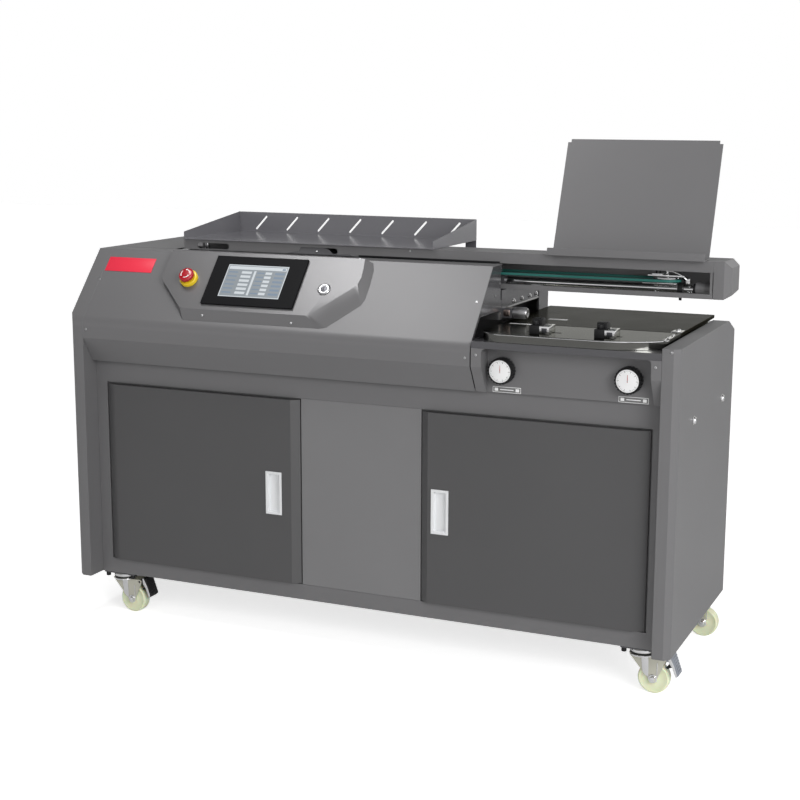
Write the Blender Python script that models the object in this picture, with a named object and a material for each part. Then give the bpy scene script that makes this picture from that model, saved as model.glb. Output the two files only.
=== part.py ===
# Floor-standing thermal binding machine: cabinet on casters, hinged sloping hood with a control pod,
# nipping table with two dials, and an overhead beam that carries the clamp carriage.
# Metres, +Z up. Places are counted from the cabinet's left side, its front and its underside.
import math

import bpy
import bmesh
from mathutils import Vector

# Fits and stock
GAP = 0.0003
RUN = 0.0005
OVERRUN = 0.004
SINK = 0.001
SHEET = 0.002

# Sides of round pieces
FINE_SIDES = 32
ROUND_SIDES = 24
SMALL_SIDES = 16
ARC_STEPS = 5
SMOOTH_ANGLE = 35.0

# Cabinet
CABINET_WIDTH = 1.600
CABINET_DEPTH = 0.573
SIDE_THICKNESS = 0.0408
SIDE_CORNER = 0.0145
SIDE_SLOPE_RUN = 0.068
SIDE_SLOPE_DROP = 0.0286
FRAME_Y = 0.056
FRAME_DEPTH = 0.018
FRAME_REBATE = 0.008
FRAME_TOP_Z = 0.576
SIDE_TOP_RISE = 0.1355
SIDE_TOP_Z = FRAME_TOP_Z + SIDE_TOP_RISE
RAIL_LOW = 0.040
RAIL_HIGH = 0.057
STILE_LEFT = 0.032
STILE_RIGHT = 0.028
MULLION_LIP = 0.008
LEFT_DOOR_OPENING = 0.3565625 * CABINET_WIDTH
RIGHT_DOOR_OPENING = 0.3525 * CABINET_WIDTH
BASE_THICKNESS = 0.003
DECK_THICKNESS = 0.006
BACK_LOW_RISE = 0.1197
BACK_LOW_Z = FRAME_TOP_Z + BACK_LOW_RISE

# Doors and their handles
DOOR_PROUD = 0.014
DOOR_BEVEL_HANDLE = 0.020
DOOR_BEVEL_HINGE = 0.030
DOOR_FLANGE = 0.006
DOOR_GAP_HINGE = 0.004
DOOR_GAP_HANDLE = 0.0025
DOOR_GAP_TOP = 0.004
DOOR_GAP_BOTTOM = 0.003
DOOR_PIN_R = 0.0015
DOOR_PIN_BEHIND = 0.0028
DOOR_PIN_INSET = 0.003
DOOR_PIN_LENGTH = 0.010
HANDLE_WIDTH = 0.045
HANDLE_HEIGHT = 0.110
HANDLE_Z = 0.2187
HANDLE_TO_EDGE_LEFT = 0.046
HANDLE_TO_EDGE_RIGHT = 0.030
HANDLE_PLATE = 0.0025
HANDLE_LIP = 0.004
HANDLE_WALL = 0.0025
HANDLE_DEPTH = 0.014

# Hood, seen from the side
BLOCK_SPAN = 0.490
HOOD_RIGHT_X = CABINET_WIDTH - BLOCK_SPAN
HOOD_TOP_Y = 0.1489
HOOD_REAR_Y = 0.2105
HOOD_BEND_R = 0.045
HOOD_BAND_RISE = 0.064
HOOD_BAND_Z = FRAME_TOP_Z + HOOD_BAND_RISE
HOOD_CORNER_RISE = 0.0449
HOOD_CORNER_Z = HOOD_BAND_Z + HOOD_CORNER_RISE
HOOD_TOP_RISE = 0.1726
HOOD_TOP_Z = HOOD_CORNER_Z + HOOD_TOP_RISE
DECK_RISE = 0.060
DECK_Z = HOOD_BAND_Z + DECK_RISE
UNDERCUT_Y = 0.038
HINGE_Y = 0.2083
HINGE_DROP = 0.010
HINGE_ROD_R = 0.003
HINGE_LUG_R = 0.0075
HINGE_LUG_WIDTH = 0.030
HINGE_LUG_SHARES = (0.08, 0.5, 0.92)
TOP_PLATE_Y = 0.2165
END_WALL_THICKNESS = 0.006
PASSAGE_CLEARANCE = 0.008
END_WALL_LEG = 0.012
CHEEK_LOW_RISE = 0.0455
CHEEK_LOW_Z = DECK_Z + CHEEK_LOW_RISE
CHEEK_REAR_Y = 0.205
CHEEK_NECK_DROP = 0.0215
CHEEK_NECK_Z = HOOD_TOP_Z - CHEEK_NECK_DROP

# Control pod on the slope: across, up the slope, and off it
SLOPE_START = 0.0204
POD_X = 0.232
POD_WIDTH = 0.579
POD_LENGTH = 0.200
POD_LIFT = 0.018
POD_BASE_SHARES = ((0.0, 1.0), (0.0, 0.6), (0.176, 0.005), (0.835, 0.012), (0.866, 0.035), (0.926, 0.2),
                   (0.988, 0.375), (1.0, 0.46), (1.0, 0.68), (0.995, 0.905), (0.981, 1.0))
POD_FACE_SHARES = ((0.01, 1.0), (0.01, 0.555), (0.162, 0.125), (0.77, 0.13), (0.786, 0.148), (0.866, 0.355),
                   (0.948, 0.568), (0.959, 0.625), (0.966, 0.72), (0.962, 0.86), (0.955, 1.0))
BEZEL_X = POD_X + 0.25734 * POD_WIDTH
BEZEL_S = 0.2 * POD_LENGTH
BEZEL_WIDTH = 0.443869 * POD_WIDTH
BEZEL_HEIGHT = 0.725 * POD_LENGTH
BEZEL_THICKNESS = 0.006
SCREEN_MARGIN_LEFT = 0.159533 * BEZEL_WIDTH
SCREEN_MARGIN_LOW = 0.165517 * BEZEL_HEIGHT
SCREEN_WIDTH = 0.66537 * BEZEL_WIDTH
SCREEN_HEIGHT = 0.668966 * BEZEL_HEIGHT
SCREEN_RECESS = 0.0015
STOP_X = POD_X + 0.153713 * POD_WIDTH
STOP_S = 0.56 * POD_LENGTH
STOP_RING_R = 0.0235
STOP_RING_THICKNESS = 0.010
STOP_HEAD_R = 0.020
STOP_HEAD_THICKNESS = 0.012
STOP_STEM_R = 0.0115
STOP_TRAVEL = 0.004
STOP_TAIL = 0.020
KEY_X = POD_X + 0.815199 * POD_WIDTH
KEY_S = 0.52 * POD_LENGTH
KEY_COLLAR_R = 0.0165
KEY_COLLAR_THICKNESS = 0.004
KEY_BARREL_R = 0.011
KEY_BLADE_WIDTH = 0.0026
KEY_BLADE_LENGTH = 0.016
KEY_BLADE_HEIGHT = 0.003

# Right block: fascia, deck, table, stops and dials
BLOCK_JOINT = 0.003
BLOCK_X = HOOD_RIGHT_X + BLOCK_JOINT
BLOCK_LIP_DROP = 0.016
BLOCK_LIP_Z = DECK_Z - BLOCK_LIP_DROP
BLOCK_LIP_DEPTH = 0.004
DECK_PLATE = 0.004
FASCIA_POST_LEFT = 0.025
FASCIA_POST_RIGHT = 0.0228
FASCIA_RECESS = 0.046
FASCIA_WALL = 0.006
FASCIA_ROUND = 0.010
DIAL_DROP = 0.070
DIAL_Z = DECK_Z - DIAL_DROP
DIAL_INSET_LEFT = 0.064
DIAL_INSET_RIGHT = 0.081
DIAL_R = 0.031
DIAL_DEPTH = 0.026
DIAL_EDGE = 0.002
SHAFT_R = 0.005
SCREW_Y = 0.090
BEVEL_OUTER = 0.010
BEVEL_INNER = 0.004
LUG_THICKNESS = 0.005
LUG_DEPTH = 0.028
LUG_DROP = 0.016
LUG_AFTER_BEVEL = 0.006
MIDDLE_LUG_FROM_BLOCK = 0.224
MIDDLE_LUG_THICKNESS = 0.009
TABLE_TOP_RISE = 0.020
TABLE_TOP_Z = DECK_Z + TABLE_TOP_RISE
TABLE_X_INSET = 0.012
TABLE_Y = 0.003
TABLE_DEPTH = 0.184
TABLE_WIDTH = 0.430
TABLE_WALL = 0.003
TABLE_ROUND_LEFT = 0.057
TABLE_ROUND_LEFT_DEPTH = 0.050
TABLE_ROUND_RIGHT = 0.137
TABLE_ROUND_RIGHT_DEPTH = 0.072
TABLE_ROUND_POWER = 1.7
STOP_BLOCK_LEFT_INSET = 0.116
STOP_BLOCK_RIGHT_INSET = 0.114
STOP_BLOCK_WIDTH = 0.047
STOP_BLOCK_Y = 0.036
STOP_BLOCK_DEPTH = 0.048
STOP_BLOCK_TOP_RISE = 0.032
STOP_BLOCK_TOP_Z = TABLE_TOP_Z + STOP_BLOCK_TOP_RISE
STOP_ARM_WIDTH = 0.012
STOP_ARM_DEPTH = 0.010
STOP_ARM_Y = 0.071
STOP_NUT_WIDTH = 0.014
STOP_NUT_DEPTH = 0.022
STOP_NUT_HEIGHT = 0.022
STOP_TRAVEL_LEFT = 0.034
STOP_TRAVEL_RIGHT = 0.024
NIP_Y = 0.193
NIP_REAR_INSET = 0.033
NIP_DEPTH = CABINET_DEPTH - NIP_Y - NIP_REAR_INSET
NIP_PLATE = 0.008
NIP_EDGE = 0.012
NIP_RUNNER = 0.015
NIP_RUNNER_INSET = 0.015

# Beam, its rod and belt
BEAM_X = 0.215
BEAM_Y = 0.222
BEAM_DEPTH = 0.096
BEAM_LOW_RISE = 0.097
BEAM_LOW_Z = DECK_Z + BEAM_LOW_RISE
BEAM_TOP_RISE = 0.087
BEAM_TOP_Z = BEAM_LOW_Z + BEAM_TOP_RISE
BEAM_WALL = 0.003
BEAM_FLANGE = 0.018
BAND_LOW_DROP = 0.026
BAND_LOW_Z = BEAM_TOP_Z - BAND_LOW_DROP
BEAM_OVERHANG = 0.056
CAP_LENGTH = 0.039
BEAM_END_X = CABINET_WIDTH + BEAM_OVERHANG
BEAM_CAP_X = BEAM_END_X - CAP_LENGTH
CAP_CHAMFER = 0.015
RAIL_LAP = 0.020
RAIL_X = HOOD_RIGHT_X - RAIL_LAP
RAIL_DEPTH = 0.014
RAIL_HEIGHT = 0.011
RAIL_POST = 0.006
BAND_SLOTS = ((0.255, 0.351), (0.567, 0.665))
BAND_SLOT_DROP = 0.0155
BAND_SLOT_Z = BEAM_TOP_Z - BAND_SLOT_DROP
BAND_SLOT_R = 0.0075
ROD_Y = 0.262
ROD_RISE = 0.016
ROD_Z = BEAM_LOW_Z + ROD_RISE
ROD_R = 0.010
ROD_SEAT = 0.025
CAP_BOSS = 0.047
CAP_BOSS_WALL = 0.008
PULLEY_R = 0.034
PULLEY_Y = 0.265
PULLEY_LEFT_X = 0.260
PULLEY_FROM_CAP = 0.117
PULLEY_RIGHT_X = BEAM_CAP_X - PULLEY_FROM_CAP
BELT_RISE = 0.033
BELT_Z = BEAM_LOW_Z + BELT_RISE
BELT_WIDTH = 0.006
BELT_THICKNESS = 0.002
PULLEY_WIDTH = 0.011
DRIVE_SHAFT_R = 0.006
POST_X = 0.190
POST_NECK = 0.032
POST_FOOT = 0.046
POST_Y = 0.230
POST_DEPTH = 0.066

# Clamp carriage
CARRIAGE_LENGTH = 0.320
CARRIAGE_RIGHT_X = HOOD_RIGHT_X
CARRIAGE_X = CARRIAGE_RIGHT_X - CARRIAGE_LENGTH
CARRIAGE_Y = 0.212
CARRIAGE_REAR_INSET = 0.085
CARRIAGE_DEPTH = CABINET_DEPTH - CARRIAGE_Y - CARRIAGE_REAR_INSET
CARRIAGE_PLATE_DROP = 0.027
CARRIAGE_PLATE_Z = BEAM_LOW_Z - CARRIAGE_PLATE_DROP
CARRIAGE_PLATE_TOP_DROP = 0.003
CARRIAGE_PLATE_TOP_Z = BEAM_LOW_Z - CARRIAGE_PLATE_TOP_DROP
CARRIAGE_END = 0.006
CARRIAGE_END_LOW_DROP = 0.052
CARRIAGE_END_LOW_Z = BEAM_LOW_Z - CARRIAGE_END_LOW_DROP
BEARING_LENGTH = 0.090
BEARING_WALL = 0.008
BEARING_TOP_RISE = 0.0315
BEARING_TOP_Z = BEAM_LOW_Z + BEARING_TOP_RISE
REAR_JAW_Y = 0.205
REAR_JAW_DEPTH = 0.012
JAW_LOW_RISE = 0.024
JAW_LOW_Z = DECK_Z + JAW_LOW_RISE
CLAMP_BLOCK_WIDTH = 0.025
CLAMP_BLOCK_RISE = 0.028
CLAMP_BLOCK_Z = DECK_Z + CLAMP_BLOCK_RISE
CLAMP_BLOCK_TOP_RISE = 0.051
CLAMP_BLOCK_TOP_Z = DECK_Z + CLAMP_BLOCK_TOP_RISE
CLAMP_BLOCK_DEPTH = 0.032
FRONT_JAW_Y = 0.180
FRONT_JAW_DEPTH = 0.012
FRONT_JAW_RISE = 0.026
FRONT_JAW_Z = DECK_Z + FRONT_JAW_RISE
FRONT_JAW_TOP_RISE = 0.043
FRONT_JAW_TOP_Z = DECK_Z + FRONT_JAW_TOP_RISE
FRONT_JAW_REACH = 0.005
JAW_PIN_R = 0.005
JAW_PIN_LENGTH = 0.075
JAW_PIN_INSET = 0.060
CLAMP_KNOB_R = 0.014
CLAMP_KNOB_LENGTH = 0.036
CLAMP_KNOB_NECK_R = 0.0045

# Tray and reading board on the beam
TRAY_X = 0.219
TRAY_Y = 0.215
TRAY_WIDTH = 0.710
TRAY_REAR_INSET = 0.063
TRAY_DEPTH = CABINET_DEPTH - TRAY_Y - TRAY_REAR_INSET
TRAY_WALL = 0.002
TRAY_FRONT_HEIGHT = 0.020
TRAY_REAR_HEIGHT = 0.055
TRAY_FOOT = 0.030
TRAY_SLOTS = 7
TRAY_SLOT_FIRST = 0.055
TRAY_SLOT_PITCH = 0.096
TRAY_SLOT_RUN = 0.032
TRAY_SLOT_RISE = 0.034
TRAY_SLOT_WIDTH = 0.005
TRAY_SLOT_LOW = 0.009
BOARD_WIDTH = 0.375
BOARD_X = CABINET_WIDTH - BOARD_WIDTH
BOARD_Y = 0.200
BOARD_LIP = 0.018
BOARD_LEDGE = 0.043
BOARD_RISE = 0.264
BOARD_RUN = 0.106
BOARD_SHEET = 0.003
BOARD_ROUND = 0.008

# Glue and milling stations under the hood
TANK_X = 0.27027 * HOOD_RIGHT_X
TANK_Y = 0.150
TANK_LENGTH = 0.340
TANK_DEPTH = 0.090
TANK_TOP_DROP = 0.010
TANK_TOP_Z = DECK_Z - TANK_TOP_DROP
TANK_WALL = 0.003
ROLLER_SHARES = (0.27, 0.73)
ROLLER_R = 0.032
ROLLER_DROP = 0.028
ROLLER_Z = DECK_Z - ROLLER_DROP
ROLLER_SIDE_GAP = 0.002
ROLLER_OVERHANG = 0.004
CUTTER_X = 0.792793 * HOOD_RIGHT_X
CUTTER_Y = 0.196
CUTTER_R = 0.080
CUTTER_DROP = 0.010
CUTTER_Z = DECK_Z - CUTTER_DROP
CUTTER_THICKNESS = 0.016
MOTOR_R = 0.045
MOTOR_SHAFT_R = 0.010
MOTOR_HEADROOM = 0.006

# Casters
CASTER_HEIGHT = 0.1105
WHEEL_R = 0.0375
WHEEL_WIDTH = 0.028
WHEEL_GROOVE = 0.004
WHEEL_HUB_R = 0.014
AXLE_R = 0.004
TRAIL = 0.030
CASTER_LEFT_X = 0.091
CASTER_RIGHT_INSET = 0.083
CASTER_REAR_RIGHT_INSET = 0.066
CASTER_FRONT_Y = 0.087
CASTER_REAR_INSET = 0.0495
CASTER_PLATE = 0.092
CASTER_PLATE_DEPTH = 0.062
CASTER_PLATE_THICKNESS = 0.003
CASTER_HEAD_R = 0.0285
CASTER_HEAD_HEIGHT = 0.014
FORK_CROWN = 0.004
FORK_LEG = 0.003
FORK_SIDE_GAP = 0.001
FORK_TOP_REAR = 0.026
FORK_TOP_FRONT = 0.022
FORK_FOOT_R = 0.010
PEDAL_PIVOT_X = 0.054
PEDAL_PIVOT_Z = 0.0235
PEDAL_PIVOT_R = 0.003
PEDAL_PAD_X = 0.064
PEDAL_PAD_REACH = 0.0265
PEDAL_PAD_TOP = 0.012
PEDAL_PAD_DROP = 0.0515
PEDAL_PAD_WIDTH = 0.0347
PEDAL_PAD_SHARES = ((0.0, 0.0), (0.415, 0.019), (1.0, 0.874), (0.755, 1.0), (0.415, 0.544), (0.075, 0.33))
PEDAL_NECK_SHARES = ((0.38, 0.06), (0.38, 0.35))
PEDAL_ROOT = 0.0055

# Finishes: colour, roughness, metallic
BODY_GREY = ((0.165, 0.165, 0.170, 1.0), 0.45, 0.1)
DOOR_GREY = ((0.085, 0.085, 0.088, 1.0), 0.45, 0.1)
BLACK = ((0.020, 0.020, 0.022, 1.0), 0.40, 0.0)
STEEL = ((0.560, 0.560, 0.570, 1.0), 0.30, 1.0)
CHROME = ((0.750, 0.750, 0.760, 1.0), 0.12, 1.0)
RED = ((0.550, 0.015, 0.015, 1.0), 0.30, 0.0)
YELLOW = ((0.780, 0.480, 0.020, 1.0), 0.40, 0.0)
NYLON = ((0.420, 0.380, 0.220, 1.0), 0.45, 0.0)
BELT_GREEN = ((0.060, 0.300, 0.120, 1.0), 0.60, 0.0)

# Places worked out from the sizes above
INNER_X = SIDE_THICKNESS + GAP
INNER_RIGHT_X = CABINET_WIDTH - SIDE_THICKNESS - GAP
INNER_REAR_Y = CABINET_DEPTH - SHEET - GAP
SLOPE_ANGLE = math.atan2(HOOD_TOP_Z - HOOD_CORNER_Z, HOOD_TOP_Y)
HINGE_Z = HOOD_TOP_Z - HINGE_DROP
SHELF_Z = FRAME_TOP_Z + GAP
SHELF_TOP_Z = SHELF_Z + DECK_THICKNESS
BEAM_INNER_Y = BEAM_Y + BEAM_WALL
BEAM_REAR_Y = BEAM_Y + BEAM_DEPTH

for old in list(bpy.data.objects):
    bpy.data.objects.remove(old, do_unlink=True)

machine = bpy.data.objects.new("machine", None)
machine.location = (-BEAM_END_X / 2, -CABINET_DEPTH / 2, CASTER_HEIGHT)
bpy.context.scene.collection.objects.link(machine)
origins = {"machine": Vector((0.0, 0.0, 0.0))}


# Shapes

def spot(axis, u, v, w):
    """A point of an outline (u, v) at the distance w along the axis."""
    if axis == "X":
        return Vector((w, u, v))
    if axis == "Y":
        return Vector((u, w, v))
    return Vector((u, v, w))


def prism(outline, axis, low, high, holes=()):
    """An outline, with holes if it has any, drawn out along an axis."""
    bm = bmesh.new()
    edges = []
    for ring in (outline, *holes):
        verts = [bm.verts.new(spot(axis, u, v, low)) for u, v in ring]
        for here, there in zip(verts, verts[1:] + verts[:1]):
            edges.append(bm.edges.new((here, there)))
    if holes:
        bmesh.ops.triangle_fill(bm, use_beauty=True, use_dissolve=False, edges=edges)
    else:
        bm.faces.new(verts)
    grown = bmesh.ops.extrude_face_region(bm, geom=bm.faces[:])
    moved = [item for item in grown["geom"] if isinstance(item, bmesh.types.BMVert)]
    bmesh.ops.translate(bm, verts=moved, vec=spot(axis, 0.0, 0.0, high - low))
    return bm


def block(x, y, z):
    """A box between three pairs of places."""
    return prism(rectangle(x, y), "Z", z[0], z[1])


def loft(low_ring, low, high_ring, high):
    """A solid between two outlines with as many points, one above the other."""
    bm = bmesh.new()
    bottom = [bm.verts.new((u, v, low)) for u, v in low_ring]
    top = [bm.verts.new((u, v, high)) for u, v in high_ring]
    bm.faces.new(bottom)
    bm.faces.new(top)
    count = len(bottom)
    for i in range(count):
        j = (i + 1) % count
        bm.faces.new((bottom[i], bottom[j], top[j], top[i]))
    return bm


def turned(profile, axis, centre, sides):
    """A profile of (radius, place along the axis) turned full circle, with a flat facing down."""
    bm = bmesh.new()
    half = math.pi / sides
    first = []
    for radius, along in profile:
        u = radius * math.sin(half)
        v = -radius * math.cos(half)
        first.append(bm.verts.new(spot(axis, centre[0] + u, centre[1] + v, along)))
    edges = [bm.edges.new(pair) for pair in zip(first, first[1:])]
    if profile[0][0] > 0.0:
        edges.append(bm.edges.new((first[-1], first[0])))
    turn_axis = spot(axis, 0.0, 0.0, 1.0)
    middle = spot(axis, centre[0], centre[1], 0.0)
    bmesh.ops.spin(bm, geom=first + edges, cent=middle, axis=turn_axis, dvec=(0.0, 0.0, 0.0),
                   angle=2.0 * math.pi, steps=sides, use_merge=True, use_duplicate=False)
    bmesh.ops.remove_doubles(bm, verts=bm.verts, dist=GAP / 100)
    return bm


def rectangle(u, v):
    return [(u[0], v[0]), (u[1], v[0]), (u[1], v[1]), (u[0], v[1])]


def arc(centre, radius, start, end, steps=ARC_STEPS):
    """Points on an arc, angles in degrees."""
    points = []
    for i in range(steps + 1):
        angle = math.radians(start + (end - start) * i / steps)
        points.append((centre[0] + radius * math.cos(angle), centre[1] + radius * math.sin(angle)))
    return points


def circle(centre, radius, sides=ROUND_SIDES):
    return arc(centre, radius, 0.0, 360.0, sides)[:-1]


def shifted(points, distance, closed=False):
    """An outline or a path moved sideways, to the left of its direction."""
    count = len(points)
    moved = []
    for i, point in enumerate(points):
        before = points[i - 1] if closed or i > 0 else None
        after = points[(i + 1) % count] if closed or i < count - 1 else None
        sides = []
        for start, end in ((before, point), (point, after)):
            if start is not None and end is not None:
                run = math.dist(start, end)
                sides.append(((start[1] - end[1]) / run, (end[0] - start[0]) / run))
        if len(sides) == 1:
            sides.append(sides[0])
        spread = 1.0 + sides[0][0] * sides[1][0] + sides[0][1] * sides[1][1]
        moved.append(tuple(point[k] + distance * (sides[0][k] + sides[1][k]) / spread for k in (0, 1)))
    return moved


def inset(ring, distance):
    """A closed outline drawn in by a distance, whichever way round it runs."""
    area = sum(a[0] * b[1] - b[0] * a[1] for a, b in zip(ring, ring[1:] + ring[:1]))
    return shifted(ring, math.copysign(distance, area), closed=True)


def folded(path, thickness):
    """The outline of a folded sheet that follows a path."""
    return path + shifted(path, thickness)[::-1]


def widened(pair, margin):
    return (pair[0] - margin, pair[1] + margin)


# Objects

def solid(name, bm, finish, pivot=(0.0, 0.0, 0.0), parent=machine, smooth=False):
    """A mesh as an object whose origin is its pivot. With no finish it is a cutting or joining tool."""
    bmesh.ops.translate(bm, verts=bm.verts, vec=-Vector(pivot))
    bmesh.ops.recalc_face_normals(bm, faces=bm.faces)
    mesh = bpy.data.meshes.new(name)
    bm.to_mesh(mesh)
    bm.free()
    if smooth:
        mesh.shade_smooth()
        mesh.set_sharp_from_angle(angle=math.radians(SMOOTH_ANGLE))
    thing = bpy.data.objects.new(name, mesh)
    thing.parent = parent
    thing.location = Vector(pivot) - origins[parent.name]
    bpy.context.scene.collection.objects.link(thing)
    origins[name] = Vector(pivot)
    if finish is None:
        thing.hide_render = True
        thing.display_type = "WIRE"
        return thing
    colour, roughness, metallic = finish
    material = bpy.data.materials.new(name + "_finish")
    material.use_nodes = True
    shader = material.node_tree.nodes["Principled BSDF"]
    shader.inputs["Base Color"].default_value = colour
    shader.inputs["Roughness"].default_value = roughness
    shader.inputs["Metallic"].default_value = metallic
    mesh.materials.append(material)
    return thing


def combine(thing, operation, bm, parent=machine):
    """Join a shape to an object, or cut it away."""
    label = f"{thing.name}_{operation.lower()}_{len(thing.modifiers) + 1}"
    tool = solid(label, bm, None, parent=parent)
    change = thing.modifiers.new(label, "BOOLEAN")
    change.object = tool
    change.operation = operation
    change.solver = "EXACT"


def join(thing, bm, parent=machine):
    combine(thing, "UNION", bm, parent)


def cut(thing, bm, parent=machine):
    combine(thing, "DIFFERENCE", bm, parent)


# Profiles that several pieces follow, seen from the right: (y, z)

def hood_path():
    """The hood's outer line from the lip under its band to the rear edge of its top."""
    below_corner = HOOD_BEND_R * math.tan((math.pi / 2 - SLOPE_ANGLE) / 2)
    centre = (HOOD_BEND_R, HOOD_CORNER_Z - below_corner)
    bend = arc(centre, HOOD_BEND_R, 180.0, 90.0 + math.degrees(SLOPE_ANGLE))
    return [(UNDERCUT_Y, FRAME_TOP_Z), (0.0, HOOD_BAND_Z), *bend, (HOOD_TOP_Y, HOOD_TOP_Z),
            (HOOD_REAR_Y, HOOD_TOP_Z)]


def slope_y(z):
    """How far back the hood's slope is at a height."""
    return (z - HOOD_CORNER_Z) / math.tan(SLOPE_ANGLE)


def left_side_outline():
    return [(0.0, 0.0), *hood_path()[2:-1], (CABINET_DEPTH, HOOD_TOP_Z), (CABINET_DEPTH, 0.0)]


def right_side_outline():
    return [(0.0, 0.0), (0.0, SIDE_TOP_Z), (CABINET_DEPTH - SIDE_SLOPE_RUN, SIDE_TOP_Z),
            (CABINET_DEPTH, SIDE_TOP_Z - SIDE_SLOPE_DROP), (CABINET_DEPTH, 0.0)]


# Cabinet

def build_side_panel(name, outline, outer_x, inner_x):
    """A hollow side, open underneath, with its front outer corner cut off."""
    inward = math.copysign(1.0, inner_x - outer_x)

    def corner(x, width, y):
        points = [(x, y), (x + inward * width, y), (x, y + width)]
        return prism(points, "Z", -OVERRUN, HOOD_TOP_Z + OVERRUN)

    panel = solid(name, prism(outline, "X", min(outer_x, inner_x), max(outer_x, inner_x)), BODY_GREY)
    cut(panel, corner(outer_x - inward * OVERRUN, SIDE_CORNER + OVERRUN * 2, -OVERRUN))
    hollow = [(y, z if z > SHEET * 2 else -OVERRUN) for y, z in inset(outline, SHEET)]
    ends = sorted((outer_x + inward * SHEET, inner_x - inward * SHEET))
    core = prism(hollow, "X", ends[0], ends[1])
    behind_corner = SIDE_CORNER + SHEET * (math.sqrt(2.0) - 1.0)
    for vert in core.verts:
        if abs(vert.co.x - outer_x) < SHEET * 2:
            vert.co.y = max(vert.co.y, behind_corner)
    cut(panel, core)


def build_cabinet():
    build_side_panel("left_side_panel", left_side_outline(), 0.0, SIDE_THICKNESS)
    build_side_panel("right_side_panel", right_side_outline(), CABINET_WIDTH,
                     CABINET_WIDTH - SIDE_THICKNESS)
    pan_y = FRAME_Y + FRAME_DEPTH + GAP
    solid("base_pan", block((INNER_X, INNER_RIGHT_X), (pan_y, INNER_REAR_Y), (0.0, BASE_THICKNESS)), BODY_GREY)
    solid("main_deck", block((INNER_X, INNER_RIGHT_X), (FRAME_Y, INNER_REAR_Y), (SHELF_Z, SHELF_TOP_Z)),
          BODY_GREY)
    split = HOOD_RIGHT_X - SHEET
    back = [(INNER_X, 0.0), (INNER_RIGHT_X, 0.0), (INNER_RIGHT_X, BACK_LOW_Z), (split, BACK_LOW_Z),
            (split, HOOD_TOP_Z - SHEET - GAP), (INNER_X, HOOD_TOP_Z - SHEET - GAP)]
    solid("back_panel", prism(back, "Y", CABINET_DEPTH - SHEET, CABINET_DEPTH), BODY_GREY)


def door_openings():
    """The two door openings of the front frame, as pairs of x."""
    left = SIDE_THICKNESS + STILE_LEFT
    right = CABINET_WIDTH - SIDE_THICKNESS - STILE_RIGHT
    return (left, left + LEFT_DOOR_OPENING), (right - RIGHT_DOOR_OPENING, right)


OPENING_Z = (RAIL_LOW, FRAME_TOP_Z - RAIL_HIGH)


def build_front_frame():
    left, right = door_openings()
    rear_y = FRAME_Y + FRAME_DEPTH
    frame = solid("front_frame", block((INNER_X, INNER_RIGHT_X), (FRAME_Y, rear_y), (0.0, FRAME_TOP_Z)),
                  BODY_GREY)
    cut(frame, block((left[0], right[1]), (FRAME_Y - OVERRUN, FRAME_Y + FRAME_REBATE), OPENING_Z))
    inner_z = widened(OPENING_Z, -MULLION_LIP)
    through_y = (FRAME_Y - OVERRUN, rear_y + OVERRUN)
    for opening in (left, (left[1], right[0]), right):
        cut(frame, block(widened(opening, -MULLION_LIP), through_y, inner_z))
    for x, _ in door_hinges():
        for z, way in ((OPENING_Z[0], -1.0), (OPENING_Z[1], 1.0)):
            ends = sorted((z - way * OVERRUN, z + way * (DOOR_PIN_LENGTH + GAP)))
            bore = circle((x, door_pin_y()), DOOR_PIN_R + GAP, SMALL_SIDES)
            cut(frame, prism(bore, "Z", ends[0], ends[1]))
    panel_x = (left[1] + GAP, right[0] - GAP)
    panel = solid("centre_panel", block(panel_x, (FRAME_Y, FRAME_Y + FRAME_REBATE - GAP),
                                        widened(OPENING_Z, -GAP)), BODY_GREY)
    cut(panel, block(widened(panel_x, -SHEET), (FRAME_Y + SHEET, FRAME_Y + FRAME_REBATE + OVERRUN),
                     widened(OPENING_Z, -SHEET)))


def door_pin_y():
    return FRAME_Y + DOOR_PIN_BEHIND


def door_hinges():
    """The x of each door's hinge, with the direction from the hinge to the handle."""
    left, right = door_openings()
    inset_x = DOOR_GAP_HINGE + DOOR_PIN_INSET
    return (left[0] + inset_x, 1.0), (right[1] - inset_x, -1.0)


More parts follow.
